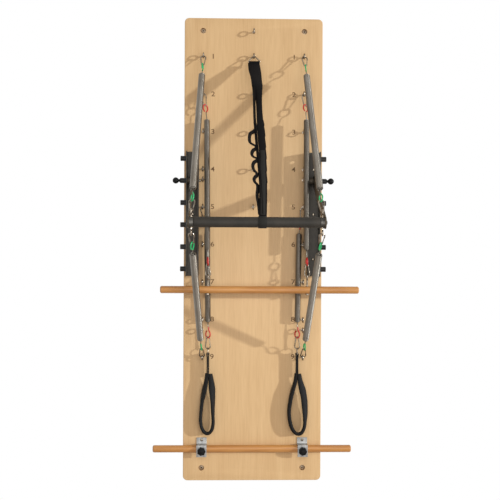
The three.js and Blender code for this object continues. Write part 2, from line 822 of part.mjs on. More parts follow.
function strapGeometry() {
  const rings = [];
  for (let step = 0; step <= strapSteps; step++) {
    const share = step / strapSteps;
    const width = strapWidth + (strapWrapWidth - strapWidth) * share;
    rings.push(ribbonRing(strapPoint(share), strapLateral, strapNormal, width, strapThickness));
  }
  const band = skin(rings, false);
  const wrapRadius = gripRadius + runningGap;
  const wrap = sleeve(wrapRadius, wrapRadius + strapThickness, strapWrapWidth / 2, strapEdgeEase);
  wrap.translate(strapTarget.x, strapTarget.y, strapTarget.z);
  const holdRadius = hookWireRadius + runningGap;
  const hold = sleeve(
    holdRadius, holdRadius + strapThickness, tieHalfSpan - strapEdgeEase, strapEdgeEase, bossSides);
  const holdCentre = tieStart.clone().addScaledVector(strapAlong, tieLength);
  hold.applyQuaternion(new THREE.Quaternion().setFromUnitVectors(across, strapLateral));
  hold.translate(holdCentre.x, holdCentre.y, holdCentre.z);
  return join([band, wrap, hold, ...daisyLoops()]);
}

// Small web loops down the strap's left edge, where the strap is shortened.
function daisyLoops() {
  const loops = [];
  for (let index = 0; index < daisyLoopCount; index++) {
    const middle = daisyFirstShare + index * daisyPitchShare;
    const half = daisyHalfShare;
    const rings = [];
    const steps = 5;
    for (let step = 0; step <= steps; step++) {
      const swing = step / steps;
      const centre = strapPoint(middle - half + 2 * half * swing);
      const out = strapWrapWidth / 2 - daisyWebThickness + daisyLoopReach * Math.sin(Math.PI * swing);
      centre.addScaledVector(strapLateral, -out);
      const travel = new THREE.Vector3().addScaledVector(strapAlong, 1);
      travel.addScaledVector(strapLateral, -Math.cos(Math.PI * swing));
      travel.normalize();
      const thick = new THREE.Vector3().crossVectors(travel, strapNormal).normalize();
      rings.push(ribbonRing(centre, strapNormal, thick, daisyLoopWidth, daisyWebThickness));
    }
    loops.push(skin(rings, false));
  }
  return loops;
}

// Foot bar clamp: a bent plate screwed to the board above the bar, coming out over it and down its front

function clampGeometry() {
  const ledge = footBarZ + dowelRadius + runningGap;
  const outline = new THREE.Shape();
  const back = seatGap;
  const front = clampFrontDepth;
  outline.moveTo(back, ledge);
  outline.lineTo(front - clampPlate, ledge);
  outline.lineTo(front - clampPlate, ledge + clampPlate - clampFrontLength);
  outline.lineTo(front, ledge + clampPlate - clampFrontLength);
  outline.lineTo(front, ledge + clampPlate - clampBendEase);
  outline.lineTo(front - clampBendEase, ledge + clampPlate);
  outline.lineTo(back + clampPlate, ledge + clampPlate);
  outline.lineTo(back + clampPlate, ledge + clampTopFlange);
  outline.lineTo(back, ledge + clampTopFlange);
  const plate = new THREE.ExtrudeGeometry(outline, { depth: clampWidth, bevelEnabled: false });
  plate.translate(0, 0, -clampWidth / 2).rotateX(Math.PI / 2).rotateZ(-Math.PI / 2);
  plate.translate(0, boardFront, 0);
  const screwZ = ledge + (clampTopFlange + clampPlate) / 2 + clampScrewHeight;
  const screwTop = boardFront - back - clampPlate - clampScrewHeight;
  const screw = rodY(clampScrewRadius, screwTop, boardFront - back - clampPlate / 2, smallRoundSides);
  const studHole = holeRadius(clampStudRadius + seatGap, smallRoundSides);
  const stud = rodY(studHole, boardFront - front - cutOverrun, boardFront, smallRoundSides);
  return cut(join([plate, screw.translate(0, 0, screwZ)]), [stud.translate(0, 0, clampStudZ)]);
}

// The knob's axis is Y. Its back is at y = 0, against the clamp, and its stud runs along +Y through the
// clamp to the dowel, which it presses home.
function clampKnobGeometry() {
  const points = [];
  const steps = knobLobes * 3;
  for (let step = 0; step < steps; step++) {
    const angle = (step / steps) * Math.PI * 2;
    const radius = knobRadius - knobLobeDepth * (1 - Math.cos(knobLobes * angle)) / 2;
    points.push(new THREE.Vector2(radius * Math.cos(angle), radius * Math.sin(angle)));
  }
  const head = new THREE.ExtrudeGeometry(new THREE.Shape(points), {
    depth: knobThickness - 2 * knobEdgeEase,
    bevelThickness: knobEdgeEase,
    bevelSize: knobEdgeEase,
    bevelOffset: -knobEdgeEase,
    bevelSegments: 1,
  });
  head.translate(0, 0, knobEdgeEase).rotateX(Math.PI / 2);
  const hub = rodY(knobHubRadius, -knobThickness - knobHubHeight, -knobThickness / 2, ringSteps);
  const studEnd = clampFrontDepth - footBarDepth - dowelRadius;
  const stud = rodY(clampStudRadius, -knobThickness / 2, studEnd, smallRoundSides);
  return join([head, hub, stud]);
}

// Materials

const wood = new THREE.MeshStandardMaterial({ color: 0xd9b98a, roughness: 0.55, metalness: 0 });
const dowelWood = new THREE.MeshStandardMaterial({ color: 0xc98f55, roughness: 0.5, metalness: 0 });
const nickel = new THREE.MeshStandardMaterial({ color: 0xc4c1b8, roughness: 0.25, metalness: 1 });
const zinc = new THREE.MeshStandardMaterial({ color: 0xb6b8b8, roughness: 0.4, metalness: 1 });
const blackSteel = new THREE.MeshStandardMaterial({ color: 0x151515, roughness: 0.45, metalness: 0.3 });
const blackRubber = new THREE.MeshStandardMaterial({ color: 0x101010, roughness: 0.85, metalness: 0 });
const blackPlastic = new THREE.MeshStandardMaterial({ color: 0x0c0c0c, roughness: 0.3, metalness: 0 });
const blackWeb = new THREE.MeshStandardMaterial({ color: 0x121212, roughness: 0.95, metalness: 0 });
const greenSpring = new THREE.MeshStandardMaterial({ color: 0x2f9a5c, roughness: 0.35, metalness: 0.4 });
const redSpring = new THREE.MeshStandardMaterial({ color: 0xc22b22, roughness: 0.35, metalness: 0.4 });

// Assembly

const springboard = new THREE.Group();

function addPiece(name, geometry, material, position = new THREE.Vector3()) {
  const piece = new THREE.Mesh(geometry, material);
  piece.name = name;
  piece.position.copy(position);
  springboard.add(piece);
  return piece;
}

const sideNames = [[-1, 'left'], [1, 'right']];

addPiece('board', boardGeometry(), wood);

for (const [corner, x, z] of wallBoltPlaces()) {
  addPiece(`wall_bolt_${corner}`, wallBoltGeometry(), zinc, place(x, -counterboreDepth, z));
}

for (const eye of loadedEyes) {
  const column = eye.side === 0 ? 'centre' : eye.side < 0 ? 'left' : 'right';
  const bolt = eyebolt(eyeReach + eyeShankDepth - seatGap);
  addPiece(`eyebolt_${column}_${eye.row}`, bolt, nickel, place(eye.x, eyeReach, eye.z));
}

for (const [side, name] of sideNames) {
  const channelPlace = place(side * channelCentreX, seatGap, 0);
  addPiece(`channel_${name}`, channelGeometry(side), blackSteel, channelPlace);
  const pin = addPiece(`pull_pin_${name}`, pullPinGeometry(), blackPlastic);
  pin.position.copy(place(side * channelCentreX, pivotDepth, pivotZ));
  pin.rotation.z = side < 0 ? Math.PI : 0;
  const arm = addPiece(`push_arm_${name}`, armGeometry(side), blackSteel);
  const reach = new THREE.Vector3(0, -armReach, -armDrop).divideScalar(armLength);
  const width = new THREE.Vector3().crossVectors(across, reach);
  arm.quaternion.setFromRotationMatrix(new THREE.Matrix4().makeBasis(reach, width, across));
  arm.position.copy(place(side * channelCentreX, pivotDepth, pivotZ));
}

addPiece('push_tube', pushTubeGeometry(), blackSteel, place(0, barDepth, barZ));
addPiece('push_grip', pushGripGeometry(), blackRubber, place(0, barDepth, barZ));
for (const [side, name] of sideNames) {
  addPiece(`push_collar_${name}`, collarGeometry(), blackPlastic, place(side * collarX, barDepth, barZ));
}

// A spring's snap hook lies flat across the chain, its wide end on the eye. Returns where the spring
// loops over its narrow end.
function addHook(label, eye, coilEnd) {
  const along = coilEnd.clone().sub(eye).normalize();
  const side = new THREE.Vector3().crossVectors(along, across).normalize();
  const lateral = new THREE.Vector3().crossVectors(side, along).normalize();
  const top = eye.clone().addScaledVector(along, eyeToHook);
  addPiece(label, snapHook(top, along, lateral), nickel);
  return top.addScaledVector(along, hookToSpring);
}

function hangSpring(label, fromEye, coilFrom, coilTo, toEye, coil) {
  const start = addHook(`${label}_hook_board`, fromEye, coilFrom);
  const finish = addHook(`${label}_hook_bar`, toEye, coilTo);
  addPiece(label, spring(label, start, coilFrom, coilTo, finish, coil.radius), coil.material);
}

const greenCoil = { radius: greenCoilRadius, material: greenSpring };
const redCoil = { radius: redCoilRadius, material: redSpring };

for (const [side, name] of sideNames) {
  for (const [level, row, up] of [['upper', 1, 1], ['lower', 9, -1]]) {
    const boardEye = place(side * eyeColumnX, eyeReach, eyeRowZ(row));
    const barEye = place(side * collarX, barDepth, barZ + up * barEyeReach);
    const along = barEye.clone().sub(boardEye).normalize();
    const coilFrom = boardEye.clone().addScaledVector(along, greenBoardEnd);
    const coilTo = barEye.clone().addScaledVector(along, -greenBarEnd);
    const label = `green_spring_${level}_${name}`;
    hangSpring(label, boardEye, coilFrom, coilTo, barEye, greenCoil);
  }
}

const rollBarPlace = place(rollBarShift, rollBarDepth, rollBarZ);
const longCoilTopZ = eyeRowZ(2) - longCoilTopDrop;
const longCoilBottomZ = rollBarZ + rollEyeReach + longCoilBottomRise;
const longCoils = {
  left: [
    place(longLeftTopX, longLeftTopDepth, longCoilTopZ),
    place(longLeftBottomX, longBottomDepth, longCoilBottomZ),
  ],
  right: [
    place(longRightTopX, longRightTopDepth, longCoilTopZ),
    place(longRightBottomX, longBottomDepth, longCoilBottomZ),
  ],
};
addPiece('roll_down_bar', rollBarGeometry(), dowelWood, rollBarPlace);
for (const [side, name] of sideNames) {
  const eyePlace = place(rollEyeShift + side * rollEyeHalfSpan, rollBarDepth, rollBarZ);
  addPiece(`roll_down_eye_${name}`, rollEyeGeometry(), nickel, eyePlace);
  const boardEye = place(side * eyeColumnX, eyeReach, eyeRowZ(2));
  const barEye = eyePlace.clone().addScaledVector(upwards, rollEyeReach);
  const [coilFrom, coilTo] = longCoils[name];
  hangSpring(`red_spring_long_${name}`, boardEye, coilFrom, coilTo, barEye, redCoil);
}

// A short spring hangs from row 5, and its lower hook holds a foot loop by its wide end.
for (const [side, name] of sideNames) {
  const boardEye = place(side * eyeColumnX, eyeReach, eyeRowZ(5));
  const coilFrom = place(side * shortTopX, eyeReach, eyeRowZ(5) - shortCoilTopDrop);
  const coilTo = place(side * shortBottomX, eyeReach, strapHookZ + shortCoilBottomRise);
  const strapHold = place(side * strapHookX, eyeReach, strapHookZ);
  const pull = strapHold.clone().sub(coilTo).normalize();
  const eyeBehindHold = strapHold.clone().addScaledVector(pull, eyeToHook);
  hangSpring(`red_spring_short_${name}`, boardEye, coilFrom, coilTo, eyeBehindHold, redCoil);
  addPiece(`foot_loop_${name}`, footLoopGeometry(), blackWeb, strapHold);
}

addPiece('strap_ring', tieRingGeometry(), nickel);
addPiece('safety_strap', strapGeometry(), blackWeb);

addPiece('foot_bar', dowelGeometry(footBarLength), dowelWood, place(0, footBarDepth, footBarZ));
for (const [side, name] of sideNames) {
  const x = side * clampX;
  addPiece(`foot_bar_clamp_${name}`, clampGeometry(), zinc, new THREE.Vector3(x, 0, 0));
  const knobPlace = place(x, clampFrontDepth + seatGap, clampStudZ);
  addPiece(`clamp_knob_${name}`, clampKnobGeometry(), blackPlastic, knobPlace);
}

for (const [name, gap] of Object.entries(springGaps)) {
  console.log(`${name}: least gap of the wire to itself ${gap.toFixed(2)} mm`);
}

export default springboard;
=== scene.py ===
import bmesh
import bpy
import math
from mathutils import Matrix, Vector


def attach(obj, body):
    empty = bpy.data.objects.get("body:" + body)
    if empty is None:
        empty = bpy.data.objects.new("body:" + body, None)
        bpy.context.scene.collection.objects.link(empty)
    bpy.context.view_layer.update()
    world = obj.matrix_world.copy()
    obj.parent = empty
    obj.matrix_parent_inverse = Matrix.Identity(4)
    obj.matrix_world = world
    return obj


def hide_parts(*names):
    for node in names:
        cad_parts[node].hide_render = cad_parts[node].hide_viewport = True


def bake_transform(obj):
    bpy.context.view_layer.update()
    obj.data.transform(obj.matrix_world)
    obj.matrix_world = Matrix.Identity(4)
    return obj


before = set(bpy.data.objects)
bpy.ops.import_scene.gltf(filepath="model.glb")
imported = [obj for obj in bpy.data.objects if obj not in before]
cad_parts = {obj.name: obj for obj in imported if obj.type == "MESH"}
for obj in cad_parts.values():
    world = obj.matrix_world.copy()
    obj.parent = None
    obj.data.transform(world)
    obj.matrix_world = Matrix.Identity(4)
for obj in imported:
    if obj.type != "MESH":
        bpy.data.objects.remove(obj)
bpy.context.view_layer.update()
print("frame loaded")

# Lengths are in millimetres, in the CAD frame: x right, y into the wall, z up. addMesh turns them
# into metres. A depth is counted forwards from the board's front face. A turned profile lists
# (radius, distance along the axis).
boardFront = -22
metres = 0.001
clearance = 0.3
acrossBoard = Vector((1, 0, 0))
upBoard = Vector((0, 0, 1))
intoWall = Vector((0, 1, 0))
bothSides = ((-1, "left"), (1, "right"))


def at(x, depth, z):
    return Vector((x, boardFront - depth, z))


# Mesh helpers. A form is a pair of verts and faces.

poleRadius = 0.01  # a profile's points on the axis become rings of this radius


def newObject(name, data):
    piece = bpy.data.objects.new(name, data)
    bpy.context.scene.collection.objects.link(piece)
    return piece


def smoothShade(mesh, sharpAngle=35):
    mesh.shade_smooth()
    mesh.set_sharp_from_angle(angle=math.radians(sharpAngle))


def addMesh(name, form, material, sharpAngle=35):
    verts, faces = form
    mesh = bpy.data.meshes.new(name)
    mesh.from_pydata([tuple(v * metres) for v in verts], [], faces)
    mesh.materials.append(material)
    cleaner = bmesh.new()
    cleaner.from_mesh(mesh)
    bmesh.ops.remove_doubles(cleaner, verts=cleaner.verts, dist=1e-7)
    bmesh.ops.recalc_face_normals(cleaner, faces=cleaner.faces)
    cleaner.to_mesh(mesh)
    cleaner.free()
    smoothShade(mesh, sharpAngle)
    return newObject(name, mesh)


def evaluatedMesh(piece):
    bpy.context.view_layer.update()
    return bpy.data.meshes.new_from_object(piece.evaluated_get(bpy.context.evaluated_depsgraph_get()))


def carve(piece, holes):
    cutters = [addMesh("cutter", hole, piece.data.materials[0]) for hole in holes]
    for cutter in cutters:
        modifier = piece.modifiers.new("cut", "BOOLEAN")
        modifier.operation = "DIFFERENCE"
        modifier.solver = "EXACT"
        modifier.object = cutter
    mesh = evaluatedMesh(piece)
    piece.modifiers.clear()
    piece.data = mesh
    for cutter in cutters:
        bpy.data.objects.remove(cutter)
    smoothShade(mesh)


# A mesh that moves with a body. node is the CAD node it stands for, if any.
def addPiece(name, form, material, body, node=None, sharpAngle=35, holes=()):
    piece = addMesh(name, form, material, sharpAngle)
    if holes:
        carve(piece, holes)
    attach(piece, body)
    if node:
        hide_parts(node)
    return piece


def gather(forms):  # several forms as one
    verts, faces = [], []
    for formVerts, formFaces in forms:
        start = len(verts)
        verts += formVerts
        faces += [tuple(start + i for i in face) for face in formFaces]
    return verts, faces


def loft(rings, closedPath=False):
    sides = len(rings[0])
    verts = [v for ring in rings for v in ring]
    faces = []
    spans = len(rings) if closedPath else len(rings) - 1
    for r in range(spans):
        this, following = r * sides, (r + 1) % len(rings) * sides
        for k in range(sides):
            beside = (k + 1) % sides
            faces.append((this + k, this + beside, following + beside, following + k))
    if not closedPath:
        faces.append(tuple(range(sides - 1, -1, -1)))
        last = (len(rings) - 1) * sides
        faces.append(tuple(range(last, last + sides)))
    return verts, faces


def ringPoints(middle, first, second, radius, sides):
    ring = []
    for k in range(sides):
        angle = 2 * math.pi * k / sides
        ring.append(middle + (first * math.cos(angle) + second * math.sin(angle)) * radius)
    return ring


def travelAt(path, i, closed=False):
    before = path[i - 1] if closed or i > 0 else path[i]
    after = path[(i + 1) % len(path)] if closed or i < len(path) - 1 else path[i]
    return (after - before).normalized()


def wire(path, radius, sides, closed=False):
    radii = radius if isinstance(radius, list) else [radius] * len(path)
    rings = []
    normal = None
    for i, point in enumerate(path):
        travel = travelAt(path, i, closed)
        if normal is None:
            normal = travel.orthogonal()
        normal = (normal - travel * normal.dot(travel)).normalized()
        rings.append(ringPoints(point, normal, travel.cross(normal), radii[i], sides))
    return loft(rings, closed)


def turned(profile, centre, axis, sides, closedProfile=False):
    along = axis.normalized()
    first = along.orthogonal().normalized()
    second = along.cross(first)
    rings = []
    for radius, distance in profile:
        rings.append(ringPoints(centre + along * distance, first, second, max(radius, poleRadius), sides))
    return loft(rings, closedProfile)


def tube(profile, centre, axis, sides):  # turned from a profile that closes on itself
    return turned(profile, centre, axis, sides, True)


def mirrored(rim):  # a profile that is the same both ways, from the points of its far half
    return [(radius, -distance) for radius, distance in rim] + rim[::-1]


# A flat strap along a path, each lateral being the direction of its width there.
def ribbon(path, laterals, widths, thickness, edge=0.3):
    rings = []
    for i, point in enumerate(path):
        travel = travelAt(path, i)
        lateral = laterals[i] - travel * laterals[i].dot(travel)
        lateral.normalize()
        normal = travel.cross(lateral)
        w, t = widths[i] / 2, thickness / 2
        c = t * edge * 2
        section = [(-w, -t + c), (-w + c, -t), (0, -t), (w - c, -t), (w, -t + c)]
        section += [(-a, -b) for a, b in section]
        rings.append([point + lateral * a + normal * b for a, b in section])
    return loft(rings)


def smoothPath(points, perSpan):  # Catmull-Rom through the points
    path = []
    for i in range(len(points) - 1):
        p1, p2 = points[i], points[i + 1]
        p0 = points[i - 1] if i > 0 else p1 * 2 - p2
        p3 = points[i + 2] if i + 2 < len(points) else p2 * 2 - p1
        for k in range(perSpan):
            t = k / perSpan
            path.append(0.5 * ((2 * p1) + (p2 - p0) * t + (2 * p0 - 5 * p1 + 4 * p2 - p3) * t * t
                               + (3 * p1 - p0 - 3 * p2 + p3) * t ** 3))
    path.append(points[-1])
    return path


# A flat outline of (x, y), from z 0 to z depth, with its edges eased.
def plate(outline, depth, bevel, segments):
    shape = bmesh.new()
    ring = [shape.verts.new((x, y, 0)) for x, y in outline]
    face = shape.faces.new(ring)
    grown = bmesh.ops.extrude_face_region(shape, geom=[face])
    top = [g for g in grown["geom"] if isinstance(g, bmesh.types.BMVert)]
    bmesh.ops.translate(shape, verts=top, vec=(0, 0, depth))
    bmesh.ops.recalc_face_normals(shape, faces=shape.faces)
    rims = [e for e in shape.edges if abs(e.verts[0].co.z - e.verts[1].co.z) < 1e-6]
    bmesh.ops.bevel(shape, geom=rims, offset=bevel, segments=segments, profile=0.5, affect="EDGES")
    shape.verts.index_update()
    verts = [v.co.copy() for v in shape.verts]
    faces = [tuple(v.index for v in f.verts) for f in shape.faces]
    shape.free()
    return verts, faces


# Puts a plate's x, y and z along three directions, from an origin.
def placed(form, xAxis, yAxis, zAxis, origin):
    matrix = Matrix((xAxis, yAxis, zAxis)).transposed().to_4x4()
    matrix.translation = origin
    verts, faces = form
    return [matrix @ v for v in verts], faces


def arcPoints(x, y, radius, start, end, steps):
    points = []
    for k in range(steps + 1):
        angle = math.radians(start + (end - start) * k / steps)
        points.append((x + radius * math.cos(angle), y + radius * math.sin(angle)))
    return points


# Materials


def newMaterial(name, color, roughness, metallic=0.0):
    material = bpy.data.materials.new(name)
    material.use_nodes = True
    shader = material.node_tree.nodes["Principled BSDF"]
    shader.inputs["Base Color"].default_value = (*color, 1)
    shader.inputs["Roughness"].default_value = roughness
    shader.inputs["Metallic"].default_value = metallic
    return material, shader


def addNode(material, kind, inputs=None, **settings):
    node = material.node_tree.nodes.new(kind)
    for key, value in settings.items():
        setattr(node, key, value)
    for key, value in (inputs or {}).items():
        node.inputs[key].default_value = value
    return node


def link(material, output, target):
    material.node_tree.links.new(output, target)


def noiseAt(material, scale, stretch=(1, 1, 1), detail=4.0, distortion=0.0):
    place = addNode(material, "ShaderNodeTexCoord")
    mapping = addNode(material, "ShaderNodeMapping", {"Scale": stretch})
    settings = {"Scale": scale, "Detail": detail, "Distortion": distortion}
    noise = addNode(material, "ShaderNodeTexNoise", settings)
    link(material, place.outputs["Object"], mapping.inputs["Vector"])
    link(material, mapping.outputs["Vector"], noise.inputs["Vector"])
    return noise.outputs["Fac"]


def ramp(material, source, stops):
    node = addNode(material, "ShaderNodeValToRGB")
    elements = node.color_ramp.elements
    while len(elements) < len(stops):
        elements.new(0.5)
    for element, (position, color) in zip(elements, stops):
        element.position = position
        element.color = (*color, 1)
    link(material, source, node.inputs["Fac"])
    return node.outputs["Color"]


def tintFrom(material, shader, source, stops):
    link(material, ramp(material, source, stops), shader.inputs["Base Color"])


def mixColor(material, first, second, share):
    node = addNode(material, "ShaderNodeMix", data_type="RGBA")
    link(material, first, node.inputs[6])
    link(material, second, node.inputs[7])
    if isinstance(share, float):
        node.inputs["Factor"].default_value = share
    else:
        link(material, share, node.inputs["Factor"])
    return node.outputs[2]


def calculate(material, operation, source, value=0.5):
    node = addNode(material, "ShaderNodeMath", {1: value}, operation=operation)
    link(material, source, node.inputs[0])
    return node.outputs[0]


def yPart(material, source):
    split = addNode(material, "ShaderNodeSeparateXYZ")
    link(material, source, split.inputs["Vector"])
    return split.outputs["Y"]


def roughen(material, shader, source, low, high):
    span = addNode(material, "ShaderNodeMapRange", {"To Min": low, "To Max": high})
    link(material, source, span.inputs["Value"])
    link(material, span.outputs["Result"], shader.inputs["Roughness"])


def bumpFrom(material, shader, source, strength, distance):
    bump = addNode(material, "ShaderNodeBump", {"Strength": strength, "Distance": distance})
    link(material, source, bump.inputs["Height"])
    link(material, bump.outputs["Normal"], shader.inputs["Normal"])


def woodMaterial(name, look):
    dark, mid, light, roughness = look["dark"], look["mid"], look["light"], look["roughness"]
    material, shader = newMaterial(name, mid, roughness)
    fine = noiseAt(material, look["fineScale"], look["grain"], 8.0, 0.4)
    broad = noiseAt(material, look["broadScale"], look["grain"], 3.0, 1.2)
    tone = noiseAt(material, look["toneScale"], detail=2.0)
    fineColor = ramp(material, fine, [(0.3, dark), (0.52, mid), (0.72, light)])
    broadColor = ramp(material, broad, [(0.35, dark), (0.5, mid), (0.62, light)])
    toneColor = ramp(material, tone, [(0.35, mid), (0.65, light)])
    color = mixColor(material, fineColor, broadColor, look["broadShare"])
    color = mixColor(material, color, toneColor, look["toneShare"])
    if "plyLayers" in look:
        color = plyEdges(material, color, look["plyLayers"])
    link(material, color, shader.inputs["Base Color"])
    roughen(material, shader, fine, roughness - 0.08, roughness + 0.12)
    bumpFrom(material, shader, fine, 0.12, 0.0004)
    shader.inputs["Coat Weight"].default_value = look["coat"]
    shader.inputs["Coat Roughness"].default_value = 0.3
    return material


def plyEdges(material, faceColor, layers):
    # Veneers show only on the board's edges, where the face doesn't look to the front or the back.
    geometry = addNode(material, "ShaderNodeNewGeometry")
    facing = calculate(material, "ABSOLUTE", yPart(material, geometry.outputs["Normal"]))
    onEdge = calculate(material, "LESS_THAN", facing, 0.6)
    place = addNode(material, "ShaderNodeTexCoord")
    depth = calculate(material, "MULTIPLY", yPart(material, place.outputs["Object"]), layers["perMetre"])
    stripe = calculate(material, "PINGPONG", depth, 1.0)
    veneer = ramp(material, stripe, [(0.35, layers["dark"]), (0.65, layers["light"])])
    return mixColor(material, faceColor, veneer, onEdge)


def metalMaterial(name, look):
    roughness, bump = look["roughness"], look.get("bump", 0.05)
    material, shader = newMaterial(name, look["color"], roughness, 1.0)
    smudge = noiseAt(material, look.get("smudgeScale", 90), look.get("stretch", (1, 1, 1)), 5.0)
    tintFrom(material, shader, smudge, [(0.35, look["shade"]), (0.6, look["color"])])
    roughen(material, shader, smudge, roughness - 0.06, roughness + 0.1)
    if bump:
        bumpFrom(material, shader, smudge, bump, 0.0002)
    return material


def coatedMaterial(name, look):
    roughness = look["roughness"]
    material, shader = newMaterial(name, look["color"], roughness, look.get("metallic", 0.0))
    grain = noiseAt(material, look["grainScale"], detail=3.0)
    wear = noiseAt(material, look["wearScale"], detail=5.0)
    tintFrom(material, shader, wear, [(0.4, look["color"]), (0.7, look["worn"])])
    roughen(material, shader, wear, roughness - 0.06, roughness + 0.08)
    bumpFrom(material, shader, grain, look["bump"], 0.0003)
    shader.inputs["Specular IOR Level"].default_value = look.get("specular", 0.25)
    return material


def webbingMaterial(name, look):
    # Ribs across the strap and yarns down it, from waves along the height and the width.
    material, shader = newMaterial(name, look["color"], look["roughness"])
    place = addNode(material, "ShaderNodeTexCoord")
    weave = addNode(material, "ShaderNodeMath", operation="MULTIPLY")
    waves = ((0, look["ribScale"], 0.4, "Z"), (1, look["yarnScale"], 0.3, "X"))
    for index, scale, distortion, axis in waves:
        settings = {"Scale": scale, "Distortion": distortion}
        wave = addNode(material, "ShaderNodeTexWave", settings, bands_direction=axis)
        link(material, place.outputs["Object"], wave.inputs["Vector"])
        link(material, wave.outputs["Fac"], weave.inputs[index])
    tintFrom(material, shader, weave.outputs[0], [(0.1, look["color"]), (0.9, look["raised"])])
    bumpFrom(material, shader, weave.outputs[0], 0.5, 0.0005)
    shader.inputs["Specular IOR Level"].default_value = look["specular"]
    return material


boardPly = woodMaterial("boardPly", {
    "light": (0.73, 0.495, 0.255), "mid": (0.665, 0.435, 0.213), "dark": (0.57, 0.35, 0.16),
    "roughness": 0.5, "coat": 0.05, "grain": (1, 1, 0.05),
    "fineScale": 190, "broadScale": 16, "toneScale": 2.2, "broadShare": 0.35, "toneShare": 0.35,
    "plyLayers": {"perMetre": 620, "dark": (0.36, 0.2, 0.09), "light": (0.66, 0.45, 0.25)},
})
dowelWood = woodMaterial("dowelWood", {
    "light": (0.62, 0.30, 0.08), "mid": (0.51, 0.22, 0.052), "dark": (0.33, 0.12, 0.03),
    "roughness": 0.4, "coat": 0.25, "grain": (0.06, 1, 1),
    "fineScale": 260, "broadScale": 60, "toneScale": 5, "broadShare": 0.5, "toneShare": 0.3,
})
springSteel = metalMaterial("springSteel", {
    "color": (0.22, 0.196, 0.165), "shade": (0.18, 0.156, 0.127), "roughness": 0.33,
    "smudgeScale": 12, "bump": 0,
})
nickelSteel = metalMaterial("nickelSteel", {
    "color": (0.34, 0.29, 0.23), "shade": (0.17, 0.135, 0.10), "roughness": 0.2,
})
zincSteel = metalMaterial("zincSteel", {
    "color": (0.42, 0.415, 0.40), "shade": (0.27, 0.265, 0.255), "roughness": 0.38, "stretch": (1, 1, 0.1),
})
boltSteel = metalMaterial("boltSteel", {
    "color": (0.58, 0.45, 0.31), "shade": (0.36, 0.26, 0.17), "roughness": 0.34,
})
blackCoat = coatedMaterial("blackCoat", {
    "color": (0.012, 0.012, 0.012), "worn": (0.03, 0.028, 0.026), "roughness": 0.42, "metallic": 0.2,
    "grainScale": 1500, "wearScale": 40, "bump": 0.12,
})
armCoat = coatedMaterial("armCoat", {
    "color": (0.06, 0.048, 0.034), "worn": (0.085, 0.069, 0.049), "roughness": 0.42, "metallic": 0.4,
    "grainScale": 1200, "wearScale": 30, "bump": 0.1,
})
channelCoat = coatedMaterial("channelCoat", {
    "color": (0.046, 0.04, 0.032), "worn": (0.066, 0.058, 0.047), "roughness": 0.44, "metallic": 0.2,
    "grainScale": 1500, "wearScale": 40, "bump": 0.12,
})
foamRubber = coatedMaterial("foamRubber", {
    "color": (0.024, 0.021, 0.017), "worn": (0.036, 0.031, 0.025), "roughness": 0.55, "specular": 0.22,
    "grainScale": 900, "wearScale": 24, "bump": 0.3,
})
blackPlastic = coatedMaterial("blackPlastic", {
    "color": (0.006, 0.006, 0.006), "worn": (0.013, 0.013, 0.013), "roughness": 0.28, "specular": 0.12,
    "grainScale": 1400, "wearScale": 50, "bump": 0.06,
})
greenSleeve = coatedMaterial("greenSleeve", {
    "color": (0.0, 0.36, 0.10), "worn": (0.005, 0.42, 0.13), "roughness": 0.3, "specular": 0.5,
    "grainScale": 700, "wearScale": 80, "bump": 0.05,
})
redSleeve = coatedMaterial("redSleeve", {
    "color": (0.52, 0.009, 0.006), "worn": (0.62, 0.02, 0.013), "roughness": 0.3, "specular": 0.5,
    "grainScale": 700, "wearScale": 80, "bump": 0.05,
})
collarCoat = coatedMaterial("collarCoat", {
    "color": (0.07, 0.066, 0.058), "worn": (0.12, 0.112, 0.1), "roughness": 0.32, "metallic": 0.85,
    "grainScale": 900, "wearScale": 60, "bump": 0.08,
})
burntInk = coatedMaterial("burntInk", {
    "color": (0.13, 0.068, 0.03), "worn": (0.2, 0.11, 0.05), "roughness": 0.7,
    "grainScale": 900, "wearScale": 300, "bump": 0.1,
})
strapWeb = webbingMaterial("strapWeb", {
    "color": (0.004, 0.0035, 0.0035), "raised": (0.012, 0.0105, 0.01), "roughness": 0.8, "specular": 0.1,
    "ribScale": 130, "yarnScale": 90,
})
strapFacing = webbingMaterial("strapFacing", {
    "color": (0.013, 0.0123, 0.0107), "raised": (0.027, 0.0257, 0.0223), "roughness": 0.7, "specular": 0.15,
    "ribScale": 160, "yarnScale": 120,
})
padWeb = webbingMaterial("padWeb", {
    "color": (0.005, 0.0048, 0.0046), "raised": (0.016, 0.0155, 0.015), "roughness": 0.6, "specular": 0.18,
    "ribScale": 220, "yarnScale": 160,
})
print("materials ready")


# Camera, light and floor

view = {
    "x": -126, "z": 52, "distance": 3900, "aimX": -12.5, "aimZ": 23,
    "lens": 64.55, "sensor": 36, "farEnd": 50, "roll": 0.28, "shift": -0.0109,
}


def addCamera():
    data = bpy.data.cameras.new("viewpoint")
    data.lens = view["lens"]
    data.sensor_width = view["sensor"]
    data.shift_y = view["shift"]
    data.clip_end = view["farEnd"]
    camera = newObject("viewpoint", data)
    eye = at(view["x"], view["distance"], view["z"]) * metres
    aim = at(view["aimX"], 0, view["aimZ"]) * metres
    turn = (aim - eye).to_track_quat("-Z", "Y")
    roll = Matrix.Rotation(math.radians(view["roll"]), 4, "Z")
    camera.matrix_world = Matrix.Translation(eye) @ turn.to_matrix().to_4x4() @ roll
    bpy.context.scene.camera = camera


lights = {
    "sun": {"towards": (2.0, -1.0, 0.36), "strength": 2.35, "angle": 2.2, "color": (0.95, 1.0, 1.03)},
    "front": {"place": (200, -1900, 60), "size": 1.4, "power": 13.5},
    "ambient": 0.42, "ambientColor": (1.0, 0.88, 0.785),
}


def addLamp(name, kind, power, towards):
    data = bpy.data.lights.new(name, kind)
    data.energy = power
    lamp = newObject(name, data)
    lamp.rotation_euler = towards.to_track_quat("Z", "Y").to_euler()
    return lamp


